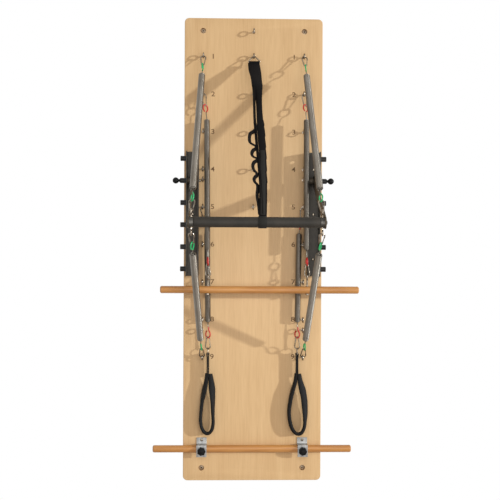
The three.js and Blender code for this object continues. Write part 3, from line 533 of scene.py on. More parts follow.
def addLights():
    sun, front = lights["sun"], lights["front"]
    sunLamp = addLamp("sun", "SUN", sun["strength"], Vector(sun["towards"]))
    sunLamp.data.angle = math.radians(sun["angle"])
    sunLamp.data.color = sun["color"]
    place = Vector(front["place"]) * metres
    frontLamp = addLamp("front", "AREA", front["power"], place)
    frontLamp.data.size = front["size"]
    frontLamp.location = place


def addWorld():
    world = bpy.data.worlds.new("studio")
    bpy.context.scene.world = world
    world.use_nodes = True
    nodes, links = world.node_tree.nodes, world.node_tree.links
    plain = nodes["Background"]
    plain.inputs["Color"].default_value = (*lights["ambientColor"], 1)
    plain.inputs["Strength"].default_value = lights["ambient"]
    white = nodes.new("ShaderNodeBackground")
    white.inputs["Color"].default_value = (1, 1, 1, 1)
    white.inputs["Strength"].default_value = 1
    rays = nodes.new("ShaderNodeLightPath")
    whiteRays = rays.outputs["Is Camera Ray"]
    for kind in ("Is Glossy Ray", "Is Transmission Ray"):
        either = nodes.new("ShaderNodeMath")
        either.operation = "MAXIMUM"
        links.new(whiteRays, either.inputs[0])
        links.new(rays.outputs[kind], either.inputs[1])
        whiteRays = either.outputs[0]
    mixed = nodes.new("ShaderNodeMixShader")
    links.new(whiteRays, mixed.inputs["Fac"])
    links.new(plain.outputs[0], mixed.inputs[1])
    links.new(white.outputs[0], mixed.inputs[2])
    links.new(mixed.outputs[0], nodes["World Output"].inputs["Surface"])


floor = {
    "z": -1300, "halfWidth": 1500, "front": -1900, "back": 140, "roughness": 0.7, "mottleScale": 6,
    "color": (0.82, 0.81, 0.79), "dark": (0.80, 0.79, 0.77), "light": (0.84, 0.83, 0.81),
}


def addFloor():
    # Far enough below the board to stay out of the photograph's frame.
    x, z = floor["halfWidth"], floor["z"]
    corners = [Vector((-x, floor["front"], z)), Vector((x, floor["front"], z)),
               Vector((x, floor["back"], z)), Vector((-x, floor["back"], z))]
    paleFloor, shader = newMaterial("paleFloor", floor["color"], floor["roughness"])
    mottle = noiseAt(paleFloor, floor["mottleScale"], detail=3.0)
    tintFrom(paleFloor, shader, mottle, [(0.3, floor["dark"]), (0.7, floor["light"])])
    addMesh("studioFloor", (corners, [(0, 1, 2, 3)]), paleFloor)


addCamera()
addLights()
addWorld()
addFloor()
bpy.context.scene.view_settings.view_transform = "Standard"
print("camera, light and floor set")


# Board, wall bolts, numbers and eyebolts

board = {
    "width": 600, "height": 2010, "thickness": 22, "cornerRadius": 20, "ease": 2.5,
    "boltX": 220, "boltZ": 950, "boreRadius": 5.4, "counterboreRadius": 12.2, "counterboreDepth": 10,
}
eyes = {
    "columnX": 218, "pitch": 163, "middleZ": 186, "extraDrop": 45, "topCentreZ": 945,
    "depth": 24, "ringRadius": 10, "wireRadius": 3, "shankRadius": 3.6, "flangeRadius": 6,
    "threadLength": 14, "threadPitch": 1.6, "threadDepth": 0.7,
}
loadedRows = (1, 2, 5, 9)  # the rows whose eyebolts are CAD nodes of their own


def rowZ(row):
    return eyes["middleZ"] + (5 - row) * eyes["pitch"]


def addBoard():
    b = board
    r = b["cornerRadius"]
    x, z = b["width"] / 2 - r, b["height"] / 2 - r
    outline = (arcPoints(x, z, r, 0, 90, 10) + arcPoints(-x, z, r, 90, 180, 10)
               + arcPoints(-x, -z, r, 180, 270, 10) + arcPoints(x, -z, r, 270, 360, 10))
    panel = plate(outline, b["thickness"], b["ease"], 3)
    holes = []
    for sx in (-1, 1):
        for sz in (-1, 1):
            middle = at(sx * b["boltX"], 0, sz * b["boltZ"])
            for radius, end in ((b["boreRadius"], b["thickness"] + 2),
                                (b["counterboreRadius"], b["counterboreDepth"])):
                holes.append(turned([(radius, -2), (radius, end)], middle, intoWall, 40))
    upright = placed(panel, acrossBoard, upBoard, -intoWall, Vector((0, 0, 0)))
    addPiece("board_panel", upright, boardPly, "wall_panel", "board", holes=holes)


wallBolt = {
    "headRadius": 8, "headHeight": 3.8, "socketRadius": 3.4, "socketDepth": 3.9,
    "washerRadius": 11.4, "washerThickness": 1.8,
}
wallBoltPlaces = (
    ("top_left", -1, 1), ("top_right", 1, 1), ("bottom_left", -1, -1), ("bottom_right", 1, -1),
)


def addWallBolts():
    washer, step = wallBolt["washerRadius"], wallBolt["washerThickness"]
    r, socket = wallBolt["headRadius"], wallBolt["socketRadius"]
    top = step + wallBolt["headHeight"]
    head = [(0, 0.3), (washer - 0.4, 0.3), (washer, 0.6), (washer, step), (washer - 0.5, step + 0.3),
            (r + 0.2, step + 0.3), (r, step + 0.8), (r, top - 2), (r - 1.6, top - 0.4), (r - 3, top),
            (socket + 0.4, top), (socket, top - 0.5), (socket - 0.2, top - 3.6), (0, top - 4)]
    # A dark disc near the bottom of each socket is painted shade. It stands in for the shade deep in the
    # socket.
    shadeDiscRadius, bottom = socket - 0.3, top - wallBolt["socketDepth"]
    socketShadeDisc = [(0, bottom), (shadeDiscRadius, bottom), (shadeDiscRadius, bottom + 0.8), (0, bottom + 0.8)]
    for name, sx, sz in wallBoltPlaces:
        seat = at(sx * board["boltX"], -board["counterboreDepth"], sz * board["boltZ"])
        addPiece(f"wall_bolt_head_{name}", turned(head, seat, -intoWall, 24), boltSteel,
                 "wall_panel", f"wall_bolt_{name}")
        addPiece(f"wall_bolt_socket_shade_{name}", turned(socketShadeDisc, seat, -intoWall, 24), blackCoat,
                 "wall_panel")


numerals = {"x": 176, "height": 29.5, "wide": 1.2, "bold": 0.2, "proud": 0.25, "lift": 0.02}


def addNumerals():
    n = numerals
    for row in range(1, 10):
        for sign, side in bothSides:
            curve = bpy.data.curves.new("numeral", "FONT")
            curve.body = str(row)
            curve.size = n["height"] * metres
            curve.align_x = "CENTER"
            curve.align_y = "CENTER"
            curve.extrude = n["proud"] * metres / 2
            curve.offset = n["bold"] * metres
            text = newObject("numeral", curve)
            mesh = evaluatedMesh(text)
            bpy.data.objects.remove(text)
            centre = at(sign * n["x"], n["proud"] / 2 + n["lift"], rowZ(row)) * metres
            mesh.transform(Matrix.Diagonal((n["wide"], 1, 1, 1)))
            mesh.transform(Matrix.Translation(centre) @ Matrix.Rotation(math.pi / 2, 4, "X"))
            mesh.materials.clear()
            mesh.materials.append(burntInk)
            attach(newObject(f"numeral_{row}_{side}", mesh), "wall_panel")


def eyeRing(centre):
    path = ringPoints(centre, intoWall, upBoard, eyes["ringRadius"], 36)
    return wire(path, eyes["wireRadius"], 12, closed=True)


# A ring and a threaded shank into the board, with the small flange that seats it.
def addEyebolt(name, x, z, node=None):
    centre = at(x, eyes["depth"], z)
    seat, reach = eyes["ringRadius"] + 1.5, eyes["depth"]
    shank, flange = eyes["shankRadius"], eyes["flangeRadius"]
    profile = [(0, seat - 2), (4.2, seat - 2), (3.4, seat + 2), (3.3, reach - 2), (flange, reach - 1.6),
               (flange, reach - 0.3), (shank, reach - 0.1)]
    ridge = reach
    while ridge < reach + eyes["threadLength"]:
        profile += [(shank, ridge + 0.4), (shank - eyes["threadDepth"], ridge + 1.2)]
        ridge += eyes["threadPitch"]
    profile += [(0, ridge + 1)]
    form = gather([eyeRing(centre), turned(profile, centre, intoWall, 16)])
    addPiece(name, form, nickelSteel, "wall_panel", node)


def addEyebolts():
    for sign, side in bothSides:
        for row in range(1, 10):
            node = f"eyebolt_{side}_{row}" if row in loadedRows else None
            addEyebolt(f"eye_{side}_{row}", sign * eyes["columnX"], rowZ(row), node)
        for row in (4, 8):
            addEyebolt(f"eye_{side}_{row}_extra", sign * eyes["columnX"], rowZ(row) - eyes["extraDrop"])
    addEyebolt("eye_centre_1", 0, rowZ(1), "eyebolt_centre_1")
    addEyebolt("eye_centre_top", 0, eyes["topCentreZ"])
    for row in range(2, 6):
        addEyebolt(f"eye_centre_{row}", 0, rowZ(row))


addBoard()
addWallBolts()
addNumerals()
addEyebolts()
print("board dressed")


# Side channels and pull pins

channel = {
    "centreX": 262.5, "width": 55, "depth": 52, "wall": 4, "bend": 6, "innerBend": 2, "lip": 1.2,
    "height": 538, "centreZ": 155, "bosses": 6, "bossPitch": 95, "bossRadius": 11, "bossLength": 24,
    "bore": 6.4, "pivotDepth": 34, "screwSpacing": 195,
}
channelScrew = [(0, -1), (6.5, -1), (6.5, 0.6), (5.7, 2.2), (4.1, 3.2), (2.4, 3.4), (2.2, 3.1), (2.0, 1.6),
                (0, 1.2)]
pivotZ = channel["centreZ"] + 1.5 * channel["bossPitch"]


def channelSection():
    half, depth, wall = channel["width"] / 2, channel["depth"], channel["wall"]
    bend, curl, lip = channel["bend"], channel["innerBend"], channel["lip"]
    inner = half - wall
    outside = (arcPoints(half - bend, bend, bend, 0, -90, 5)
               + arcPoints(-half + bend, bend, bend, -90, -180, 5))
    inside = (arcPoints(-inner + curl, wall + curl, curl, 180, 270, 3)
              + arcPoints(inner - curl, wall + curl, curl, 270, 360, 3))
    return ([(half - lip, depth), (half, depth - lip)] + outside
            + [(-half, depth - lip), (-half + lip, depth), (-inner, depth)] + inside + [(inner, depth)])


def addChannel(sign, side):
    c = channel
    outward = acrossBoard * sign
    half, r, bore = c["width"] / 2, c["bossRadius"], c["bore"]
    seat, tip = half - 0.5, half + c["bossLength"]
    bossProfile = [(bore, seat), (r + 1.4, seat), (r + 1.4, seat + 1.6), (r, seat + 3), (r, tip - 1),
                   (r - 1, tip), (bore + 0.6, tip), (bore, tip - 0.6)]
    holes, bosses = [], []
    for index in range(c["bosses"]):
        z = c["centreZ"] + ((c["bosses"] - 1) / 2 - index) * c["bossPitch"]
        middle = at(sign * c["centreX"], c["pivotDepth"], z)
        holes.append(turned([(bore, -half - 2), (bore, half + 2)], middle, outward, 24))
        bosses.append(tube(bossProfile, middle, outward, 28))
    rail = placed(plate(channelSection(), c["height"], 0.8, 1), acrossBoard, -intoWall, upBoard,
                  at(sign * c["centreX"], clearance, c["centreZ"] - c["height"] / 2))
    addPiece(f"channel_rail_{side}", rail, channelCoat, "wall_panel", f"channel_{side}",
             holes=holes)
    addPiece(f"channel_bosses_{side}", gather(bosses), blackCoat, "wall_panel")
    for step in (-1, 0, 1):
        screwSeat = at(sign * c["centreX"], c["wall"] + clearance, c["centreZ"] + step * c["screwSpacing"])
        screw = turned(channelScrew, screwSeat, -intoWall, 20)
        addPiece(f"channel_screw_{side}_{step + 2}", screw, nickelSteel, "wall_panel")


pin = {
    "radius": 5.8, "tipPast": 10, "flangeRadius": 10, "neckRadius": 6, "neckLength": 5, "ballRadius": 13.5,
}


def addPullPin(sign, side):
    half = channel["width"] / 2
    seat = half + channel["bossLength"] + clearance
    r, flange, thin, ballRadius = pin["radius"], pin["flangeRadius"], pin["neckRadius"], pin["ballRadius"]
    neck = seat + 3
    ball = neck + pin["neckLength"] + math.sqrt(ballRadius ** 2 - thin ** 2)
    tip = -half - pin["tipPast"]
    knobProfile = [(r - 1, seat), (flange - 0.6, seat), (flange, seat + 0.6), (flange, seat + 2),
                   (thin + 1.2, neck), (thin, neck + 1.5), (thin, neck + pin["neckLength"] - 0.4)]
    widest = math.pi - math.asin(thin / ballRadius)
    for k in range(1, 16):
        angle = widest * (1 - k / 16)
        knobProfile.append((ballRadius * math.sin(angle), ball + ballRadius * math.cos(angle)))
    knobProfile.append((0, ball + ballRadius))
    rodProfile = [(0, tip), (r - 1.8, tip), (r, tip + 1.8), (r, seat + 1), (0, seat + 1)]
    middle = at(sign * channel["centreX"], channel["pivotDepth"], pivotZ)
    body, outward = f"pull_pin_{side}", acrossBoard * sign
    rod = turned(rodProfile, middle, outward, 28)
    knobForm = turned(knobProfile, middle, outward, 36)
    addPiece(f"pull_pin_rod_{side}", rod, nickelSteel, body)
    addPiece(f"pull_pin_knob_{side}", knobForm, blackPlastic, body, body)


for sign, side in bothSides:
    addChannel(sign, side)
    addPullPin(sign, side)
print("channels and pins made")


# Push-through bar

pushBar = {
    "depth": 470, "z": 112, "armThickness": 6, "armHalfWidth": 24.5, "hubRadius": 14, "hubGap": 0.6,
    "boltRadius": 9, "tubeRadius": 16, "tubeBore": 13.5, "collarRadius": 20, "collarLength": 15,
    "gripRadius": 20.5, "gripBore": 16.3, "gripWave": 0.12, "gripRipple": 37.0, "eyeReach": 40,
}
collarEye = [(0, 9), (4, 9), (3.4, 12), (3.4, 17.5), (7, 18), (7, 20.4), (3.4, 20.6), (3.4, 22), (0, 22)]
armInnerX = channel["centreX"] - pushBar["armThickness"] / 2
collarX = armInnerX - clearance - pushBar["collarLength"] / 2
barCentre = at(0, pushBar["depth"], pushBar["z"])


def addArm(sign, side):
    b = pushBar
    pivot = at(sign * channel["centreX"], channel["pivotDepth"], pivotZ)
    end = barCentre + acrossBoard * sign * channel["centreX"]
    along = (end - pivot).normalized()
    length = (end - pivot).length
    half, face = b["armHalfWidth"], b["armThickness"] / 2
    outline = arcPoints(0, 0, half, 90, 270, 20) + arcPoints(length, 0, half, -90, 90, 20)
    blade = placed(plate(outline, b["armThickness"], 1.2, 2), along, acrossBoard.cross(along), acrossBoard,
                   pivot - acrossBoard * face)
    outward = acrossBoard * sign
    reach = channel["width"] / 2 - channel["wall"] - b["hubGap"]
    bore, r = channel["bore"], b["hubRadius"]
    hub = tube(mirrored([(bore, reach), (r - 1, reach), (r, reach - 1)]), pivot, outward, 32)
    form = gather([blade, hub])
    addPiece(f"push_arm_blade_{side}", form, armCoat, "push_bar", f"push_arm_{side}")
    r = b["boltRadius"]
    boltProfile = [(0, face - 1), (r + 2, face - 1), (r + 2, face + 0.8), (r, face + 1),
                   (r - 0.4, face + 2.8), (r - 3, face + 4.6), (3, face + 5), (2.8, face + 4.6),
                   (2.6, face + 2), (0, face + 1.8)]
    bolt = turned(boltProfile, end, outward, 28)
    addPiece(f"push_arm_bolt_{side}", bolt, blackCoat, "push_bar")


def addTubeAndGrip():
    b = pushBar
    half, r, bore = armInnerX - clearance, b["tubeRadius"], b["tubeBore"]
    inner = tube(mirrored([(bore, half), (r - 0.4, half), (r, half - 0.6)]), barCentre, acrossBoard, 40)
    addPiece("push_tube_steel", inner, blackCoat, "push_bar", "push_tube")
    reach, r, bore = collarX - b["collarLength"] / 2 - clearance, b["gripRadius"], b["gripBore"]
    rim = [(bore, reach), (r - 3, reach), (r - 1, reach - 1), (r - 0.2, reach - 3)]
    gripProfile = [(radius, -x) for radius, x in rim]
    steps = 24
    for k in range(steps + 1):
        share = k / steps
        wave = b["gripWave"] * (1 + math.sin(share * b["gripRipple"])) * math.sin(share * math.pi)
        gripProfile.append((r - wave, -reach + 4 + (2 * reach - 8) * share))
    outer = tube(gripProfile + rim[::-1], barCentre, acrossBoard, 48)
    addPiece("push_grip_foam", outer, foamRubber, "push_bar", "push_grip")


def addCollar(sign, side):
    centre = barCentre + acrossBoard * sign * collarX
    half, r, bore = pushBar["collarLength"] / 2, pushBar["collarRadius"], pushBar["gripBore"]
    rim = [(bore, half), (r - 1.2, half), (r, half - 1.2), (r, 1.2), (r - 0.8, 0.6)]
    ring = tube(mirrored(rim), centre, acrossBoard, 44)
    addPiece(f"push_collar_ring_{side}", ring, collarCoat, "push_bar",
             f"push_collar_{side}")
    for up, level in ((1, "upper"), (-1, "lower")):
        eye = centre + upBoard * up * pushBar["eyeReach"]
        form = gather([eyeRing(eye), turned(collarEye, eye, upBoard * -up, 20)])
        addPiece(f"push_collar_eye_{level}_{side}", form, nickelSteel, "push_bar")


addTubeAndGrip()
for sign, side in bothSides:
    addArm(sign, side)
    addCollar(sign, side)
print("push-through bar made")


# Snap hooks and springs

hook = {
    "length": 52, "wide": 11, "narrow": 6.2, "wire": 2.5, "gap": 0.7,
    "nose": 0.12, "knuckle": 0.92, "gateInset": 0.2, "gateWires": [1.7, 1.8, 1.9],
    "rivetHalf": 3, "rivetWire": 1.5, "collarWire": 2.9,
}
spring = {
    "wire": 1.45, "endWire": 2, "sleeve": 2.7, "loopWide": 11.5, "loopTall": 16,
    "loopStart": 156, "loopSweep": 306, "taper": 7, "perTurn": 12, "packing": 1.03,
}
eyeToHook = eyes["ringRadius"] - eyes["wireRadius"] - hook["wire"] - hook["gap"]
hookToSpring = hook["length"] - hook["wire"] - spring["endWire"] - hook["gap"]


# The snap hook's centre line: round the wide end at top, along the spine and round the narrow end.
def pearPath(top, along, lateral):
    a, b = hook["wide"], hook["narrow"]
    reach = hook["length"] - a - b
    lean = math.degrees(math.acos((a - b) / reach))
    wide = arcPoints(a, 0, a, lean, 360 - lean, 28)
    narrow = arcPoints(a + reach, 0, b, -lean, lean, 14)
    left, right = wide[-1], narrow[0]
    spine = []
    for t in (0.2, 0.4, 0.6, 0.8):
        spine.append((left[0] + (right[0] - left[0]) * t, left[1] + (right[1] - left[1]) * t))
    return [top + along * u + lateral * v for u, v in wide + spine + narrow]


def addHook(name, node, body, top, along, lateral):
    h = hook
    path = pearPath(top, along, lateral)
    normal = along.cross(lateral)
    narrowEnd = path[-1]
    gateRun = path[0] - narrowEnd
    nose = narrowEnd + gateRun * h["nose"]
    knuckle = narrowEnd + gateRun * h["knuckle"]
    inset = -lateral * h["gateInset"]
    gatePath = [nose + gateRun * 0.05 + inset, narrowEnd + gateRun * 0.5 + inset, knuckle]
    form = gather([
        wire(path + [nose], h["wire"], 10),
        wire(gatePath, h["gateWires"], 10),
        wire([knuckle - normal * h["rivetHalf"], knuckle + normal * h["rivetHalf"]], h["rivetWire"], 12),
        wire([knuckle - gateRun * 0.1, knuckle], h["collarWire"], 12),
    ])
    addPiece(name, form, nickelSteel, body, node)


# One end of a spring: a round loop that almost closes, then the neck down to the coil.
def loopPath(top, coilEnd, turn, length):
    s = spring
    along = (coilEnd - top).normalized()
    lateral = Matrix.Rotation(math.radians(turn), 3, along) @ along.cross(acrossBoard).normalized()
    outline = []
    for k in range(21):
        angle = math.radians(s["loopStart"] - s["loopSweep"] * k / 20)
        outline.append((s["loopTall"] - s["loopTall"] * math.cos(angle), s["loopWide"] * math.sin(angle)))
    outline += [(length - 5, -2.2), (length - 2, -0.5)]
    loop = [top + along * u + lateral * v for u, v in outline]
    return loop, [top + along * length, top + along * ((coilEnd - top).length - 1)]


def coilPath(start, end, radius):
    along = (end - start).normalized()
    lateral = along.cross(acrossBoard).normalized()
    side = along.cross(lateral)
    length = (end - start).length
    steps = int(length / (2 * spring["wire"] * spring["packing"])) * spring["perTurn"]
    path = []
    for k in range(steps + 1):
        share = k / steps
        grown = min(1.0, min(share, 1 - share) * length / spring["taper"])
        reach = radius * math.sin(grown * math.pi / 2) ** 0.8
        angle = 2 * math.pi * k / spring["perTurn"]
        outward = lateral * math.cos(angle) + side * math.sin(angle)
        path.append(start + along * share * length + outward * reach)
    return path


def addSpring(name, node, ends, kind, hold):
    (start, coilFrom, firstTurn), (finish, coilTo, lastTurn) = ends
    firstLoop, firstNeck = loopPath(start, coilFrom, firstTurn, kind["loopLength"])
    lastLoop, lastNeck = loopPath(finish, coilTo, lastTurn, kind["loopLength"])
    coil = coilPath(coilFrom, coilTo, kind["coilRadius"])
    path = firstLoop + firstNeck + coil + lastNeck[::-1] + lastLoop[::-1]
    endRadii = [spring["endWire"]] * (len(firstLoop) + len(firstNeck))
    radii = endRadii + [spring["wire"]] * len(coil) + endRadii
    piece = addMesh(name, wire(path, radii, 6), springSteel, 60)
    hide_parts(node)
    hold(piece)
    for label, loop in (("top", firstLoop), ("bottom", lastLoop)):
        cover = wire(smoothPath(loop[:-1], 2), spring["sleeve"], 12)
        sleeve = addMesh(f"{name}_sleeve_{label}", cover, kind["sleeve"], 60)
        hold(sleeve)


# Hook, spring and hook. bodies are those of the board hook, the spring's far end and the bar hook; the
# spring's far end's body is not used.
# kind["turns"] says how far the hook and the loop are turned on the chain at each end, in degrees.
# The hooks above the push-through bar have the bar's eye in their narrow end.
def addChain(label, fromEye, coilFrom, coilTo, toEye, kind, bodies, narrowOnBar=False):
    ends = []
    chainEnds = (("board", fromEye, coilFrom, bodies[0]), ("bar", toEye, coilTo, bodies[2]))
    for end, eye, coilEnd, body in chainEnds:
        along = (coilEnd - eye).normalized()
        hookTurn, loopTurn = kind["turns"][end]
        side = along.cross(acrossBoard).normalized()
        lateral = Matrix.Rotation(math.radians(hookTurn), 3, along) @ side.cross(along).normalized()
        top = eye + along * eyeToHook
        hookTop, hookAlong = top, along
        if end == "bar" and narrowOnBar:
            hookTop, hookAlong = top + along * hook["length"], -along
        addHook(f"{label}_snap_{end}", f"{label}_hook_{end}", body, hookTop, hookAlong, lateral)
        ends.append((top + along * hookToSpring, coilEnd, loopTurn))

    def hold(piece):
        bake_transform(piece)

    addSpring(f"{label}_coil", label, ends, kind, hold)


green = {
    "boardEnd": 108, "barEnd": 106, "coilRadius": 12.5, "sleeve": greenSleeve, "loopLength": 42,
    "turns": {"board": (0, 10), "bar": (0, 28)},
}
redLong = {
    "coilRadius": 11.0, "sleeve": redSleeve, "loopLength": 38,
    "turns": {"board": (-20, 55), "bar": (0, 10)},
    "topZ": 562, "bottomZ": 0, "bottomDepth": 67,
    "left": {"topX": -201.6, "topDepth": 36, "bottomX": -196},
    "right": {"topX": 225.5, "topDepth": 61, "bottomX": 228},
}
redShort = {
    "coilRadius": 11.0, "sleeve": redSleeve, "loopLength": 52,
    "turns": {"board": (0, 12), "bar": (-20, 55)},
    "topX": 199, "topZ": 73, "bottomX": 193.5, "bottomZ": -314, "holdX": 193, "holdZ": -428,
}
rollBar = {
    "length": 850, "shift": 28, "depth": 70, "z": -170, "eyeShift": 19, "eyeHalfSpan": 212, "eyeReach": 54,
}


def sideEye(sign, row):
    return at(sign * eyes["columnX"], eyes["depth"], rowZ(row))


def rollBarAxis(sign):
    return at(rollBar["eyeShift"] + sign * rollBar["eyeHalfSpan"], rollBar["depth"], rollBar["z"])


def loopHold(sign):
    return at(sign * redShort["holdX"], eyes["depth"], redShort["holdZ"])


def addGreenChains():
    for sign, side in bothSides:
        for level, row, up in (("upper", 1, 1), ("lower", 9, -1)):
            boardEye = sideEye(sign, row)
            barEye = barCentre + acrossBoard * sign * collarX + upBoard * up * pushBar["eyeReach"]
            along = (barEye - boardEye).normalized()
            bodies = (f"green_{level}_swing", f"green_{level}_stretch", f"green_{level}_bar_hooks")
            addChain(f"green_spring_{level}_{side}", boardEye, boardEye + along * green["boardEnd"],
                     barEye - along * green["barEnd"], barEye, green, bodies, level == "upper")


def addLongRedChains():
    for sign, side in bothSides:
        r, own = redLong, redLong[side]
        coilFrom = at(own["topX"], own["topDepth"], r["topZ"])
        coilTo = at(own["bottomX"], r["bottomDepth"], r["bottomZ"])
        barEye = rollBarAxis(sign) + upBoard * rollBar["eyeReach"]
        addChain(f"red_spring_long_{side}", sideEye(sign, 2), coilFrom, coilTo, barEye, r,
                 ("roll_down_hang", "roll_down", "roll_down"))


def addShortRedChains():
    for sign, side in bothSides:
        r = redShort
        coilFrom = at(sign * r["topX"], eyes["depth"], r["topZ"])
        coilTo = at(sign * r["bottomX"], eyes["depth"], r["bottomZ"])
        behind = loopHold(sign) + (loopHold(sign) - coilTo).normalized() * eyeToHook
        addChain(f"red_spring_short_{side}", sideEye(sign, 5), coilFrom, coilTo, behind, r,
                 ("wall_panel", f"foot_hang_{side}", f"foot_hang_{side}"))


addGreenChains()
addLongRedChains()
addShortRedChains()
print("springs and hooks made")


# Dowels: the roll-down bar and the foot bar, which two clamps with knobs hold

dowel = {"radius": 15.5, "endRound": 7}
footBar = {"length": 860, "depth": 16, "z": -863}
barNut = {"radius": 7, "height": 5.5, "drop": 6}


def dowelForm(length, centre):
    r, half, e = dowel["radius"], length / 2, dowel["endRound"]
    rim = [(0, half)]
    for k in range(1, 9):
        angle = math.radians(90 * k / 8)
        rim.append((r - e + e * math.sin(angle), half - e + e * math.cos(angle)))
    return turned(mirrored(rim), centre, acrossBoard, 48)


def addRollBar():
    form = dowelForm(rollBar["length"], at(rollBar["shift"], rollBar["depth"], rollBar["z"]))
    addPiece("roll_down_dowel", form, dowelWood, "roll_down", "roll_down_bar")
    r, reach = dowel["radius"], rollBar["eyeReach"]
    top = reach - r
    shankProfile = [(0, 9), (4.2, 9), (3.6, 12), (3.6, top - 1), (7.5, top - 0.8), (7.5, top + 0.2),
                    (3.6, top + 0.4), (3.6, reach + r + 7), (0, reach + r + 8)]
    for sign, side in bothSides:
        axis = rollBarAxis(sign)
        eye = axis + upBoard * reach
        nut = placed(plate(arcPoints(0, 0, barNut["radius"], 0, 300, 5), barNut["height"], 0.5, 1),
                     acrossBoard, intoWall, upBoard, axis - upBoard * (r + barNut["drop"]))
        form = gather([eyeRing(eye), turned(shankProfile, eye, -upBoard, 16), nut])
        addPiece(f"roll_down_eye_bolt_{side}", form, nickelSteel, "roll_down",
                 f"roll_down_eye_{side}")


def addFootBar():
    form = dowelForm(footBar["length"], at(0, footBar["depth"], footBar["z"]))
    addPiece("foot_bar_dowel", form, dowelWood, "foot_bar", "foot_bar")


clamp = {
    "x": 219, "width": 44, "sheet": 3, "topFlange": 30, "frontLength": 51, "bend": 3.5, "innerBend": 2,
    "studDrop": 6, "studHole": 4.8, "dowelGap": 0.5,
}
clampScrew = [(0, -1), (6.5, -1), (6.5, 0.4), (5.6, 2), (3.6, 2.9), (2.4, 3), (2.2, 1.4), (0, 1.2)]
clampFront = footBar["depth"] + dowel["radius"] + clamp["dowelGap"] + clamp["sheet"]


def addClamp(sign, side):
    c = clamp
    x, back, front = sign * c["x"], clearance, clampFront
    bend, curl, sheet = c["bend"], c["innerBend"], c["sheet"]
    ledge = footBar["z"] + dowel["radius"] + c["dowelGap"]
    over, inside = ledge + sheet, back + sheet
    top, tip = ledge + c["topFlange"], over - c["frontLength"]
    outline = ([(back, top), (back, ledge), (front - sheet, ledge), (front - sheet, tip), (front, tip)]
               + arcPoints(front - bend, over - bend, bend, 0, 90, 4)
               + [(inside + curl, over)] + arcPoints(inside + curl, over + curl, curl, 270, 180, 3)
               + [(inside, top)])
    start = Vector((x - c["width"] / 2, boardFront, 0))
    strip = placed(plate(outline[::-1], c["width"], 0.6, 1), -intoWall, upBoard, acrossBoard, start)
    studAt = at(x, front, footBar["z"] - c["studDrop"])
    hole = turned([(c["studHole"], -3), (c["studHole"], 8)], studAt, intoWall, 20)
    addPiece(f"clamp_sheet_{side}", strip, zincSteel, "wall_panel", f"foot_bar_clamp_{side}",
             holes=[hole])
    seat = at(x, inside, ledge + (c["topFlange"] + sheet) / 2 + 3)
    screw = turned(clampScrew, seat, -intoWall, 20)
    addPiece(f"clamp_screw_{side}", screw, nickelSteel, "wall_panel")


knob = {"radius": 18, "lobeDepth": 1.8, "lobes": 7, "thickness": 15, "ease": 2.2}
knobHub = [(0, 12), (9.5, 14), (9, 16.6), (7.6, 18.4), (5, 19), (0, 19)]
knobStud = [(0, -8), (4, -8), (4, 3), (0, 3.4)]


def addKnob(sign, side):
    centre = at(sign * clamp["x"], clampFront + clearance, footBar["z"] - clamp["studDrop"])
    outline = []
    steps = knob["lobes"] * 10
    for i in range(steps):
        angle = 2 * math.pi * i / steps
        r = knob["radius"] - knob["lobeDepth"] * (1 - math.cos(knob["lobes"] * angle)) / 2
        outline.append((r * math.cos(angle), r * math.sin(angle)))
    star = plate(outline, knob["thickness"], knob["ease"], 3)
    head = placed(star, acrossBoard, upBoard, -intoWall, centre)
    form = gather([head, turned(knobHub, centre, -intoWall, 28), turned(knobStud, centre, intoWall, 16)])
    body = f"clamp_knob_{side}"
    addPiece(f"clamp_star_knob_{side}", form, blackPlastic, body, body)


addRollBar()
addFootBar()
for sign, side in bothSides:
    addClamp(sign, side)
    addKnob(sign, side)
print("dowels and clamps made")


# Foot loops: a folded neck strap that carries a padded band

# Each outline is (x, z, roll in degrees) of the band's middle, counted from where the hook holds it.
# Each degree of roll below 0 brings the band forwards by frontShift. The band narrows to endWidth of
# its width over the first and last taperLength of its length.
footLoop = {
    "bandWidth": 33, "bandThickness": 14, "endWidth": 0.55, "taperLength": 0.12, "frontShift": 0.1,
    "neckWidth": 26, "neckThickness": 4.8,
    "ringWire": 2, "ringRadius": 14, "ringZ": -8.9, "barHalf": 11, "barZ": -24, "barCorner": 3,
    "left": [(-4, -106, -20), (-7, -141, -24), (-13, -171, -30), (-19, -200, -22), (-24.5, -230, -8),
             (-30, -290, 0), (-30, -318, 0), (-24, -345, -4), (-14, -361, -6), (-2, -367, -8),
             (11, -362, -8), (20.5, -345, -6), (24, -318, 0), (23, -288, -2), (22, -230, -22),
             (20.5, -200, -44), (18.5, -171, -58), (15, -141, -72), (11, -108, -76)],
    "right": [(-3, -106, -10), (-7, -141, -14), (-15, -171, -10), (-23, -200, -8), (-28.5, -230, -6),
              (-33, -260, -4), (-33, -290, -4), (-28.5, -320, -6), (-20, -346, -8), (-7, -364, -8),
              (8, -370, -8), (23, -363, -8), (33, -342, -8), (36, -316, -12), (36.5, -288, -30),
              (35, -260, -50), (33, -230, -58), (29, -200, -58), (22, -171, -68), (14, -141, -70),
              (9, -108, -70)],
}


def addFootLoop(sign, side):
    f, hold, body = footLoop, loopHold(sign), f"foot_loop_{side}"
    path = smoothPath([hold + Vector((x, roll * f["frontShift"], z)) for x, z, roll in f[side]], 8)
    rolls = smoothPath([Vector((roll, 0, 0)) for _, _, roll in f[side]], 8)
    laterals, widths = [], []
    count = len(path)
    for i, roll in enumerate(rolls):
        grown = min(1.0, min(i, count - 1 - i) / (f["taperLength"] * count))
        laterals.append(Matrix.Rotation(math.radians(roll.x), 3, travelAt(path, i)) @ -intoWall)
        widths.append(f["bandWidth"] * (f["endWidth"] + (1 - f["endWidth"]) * grown))
    band = ribbon(path, laterals, widths, f["bandThickness"], 0.45)
    piece = addPiece(f"foot_loop_band_{side}", band, padWeb, body, body, 50)
    addLoopRing(side, hold, body)
    addLoopNeck(side, hold, body)


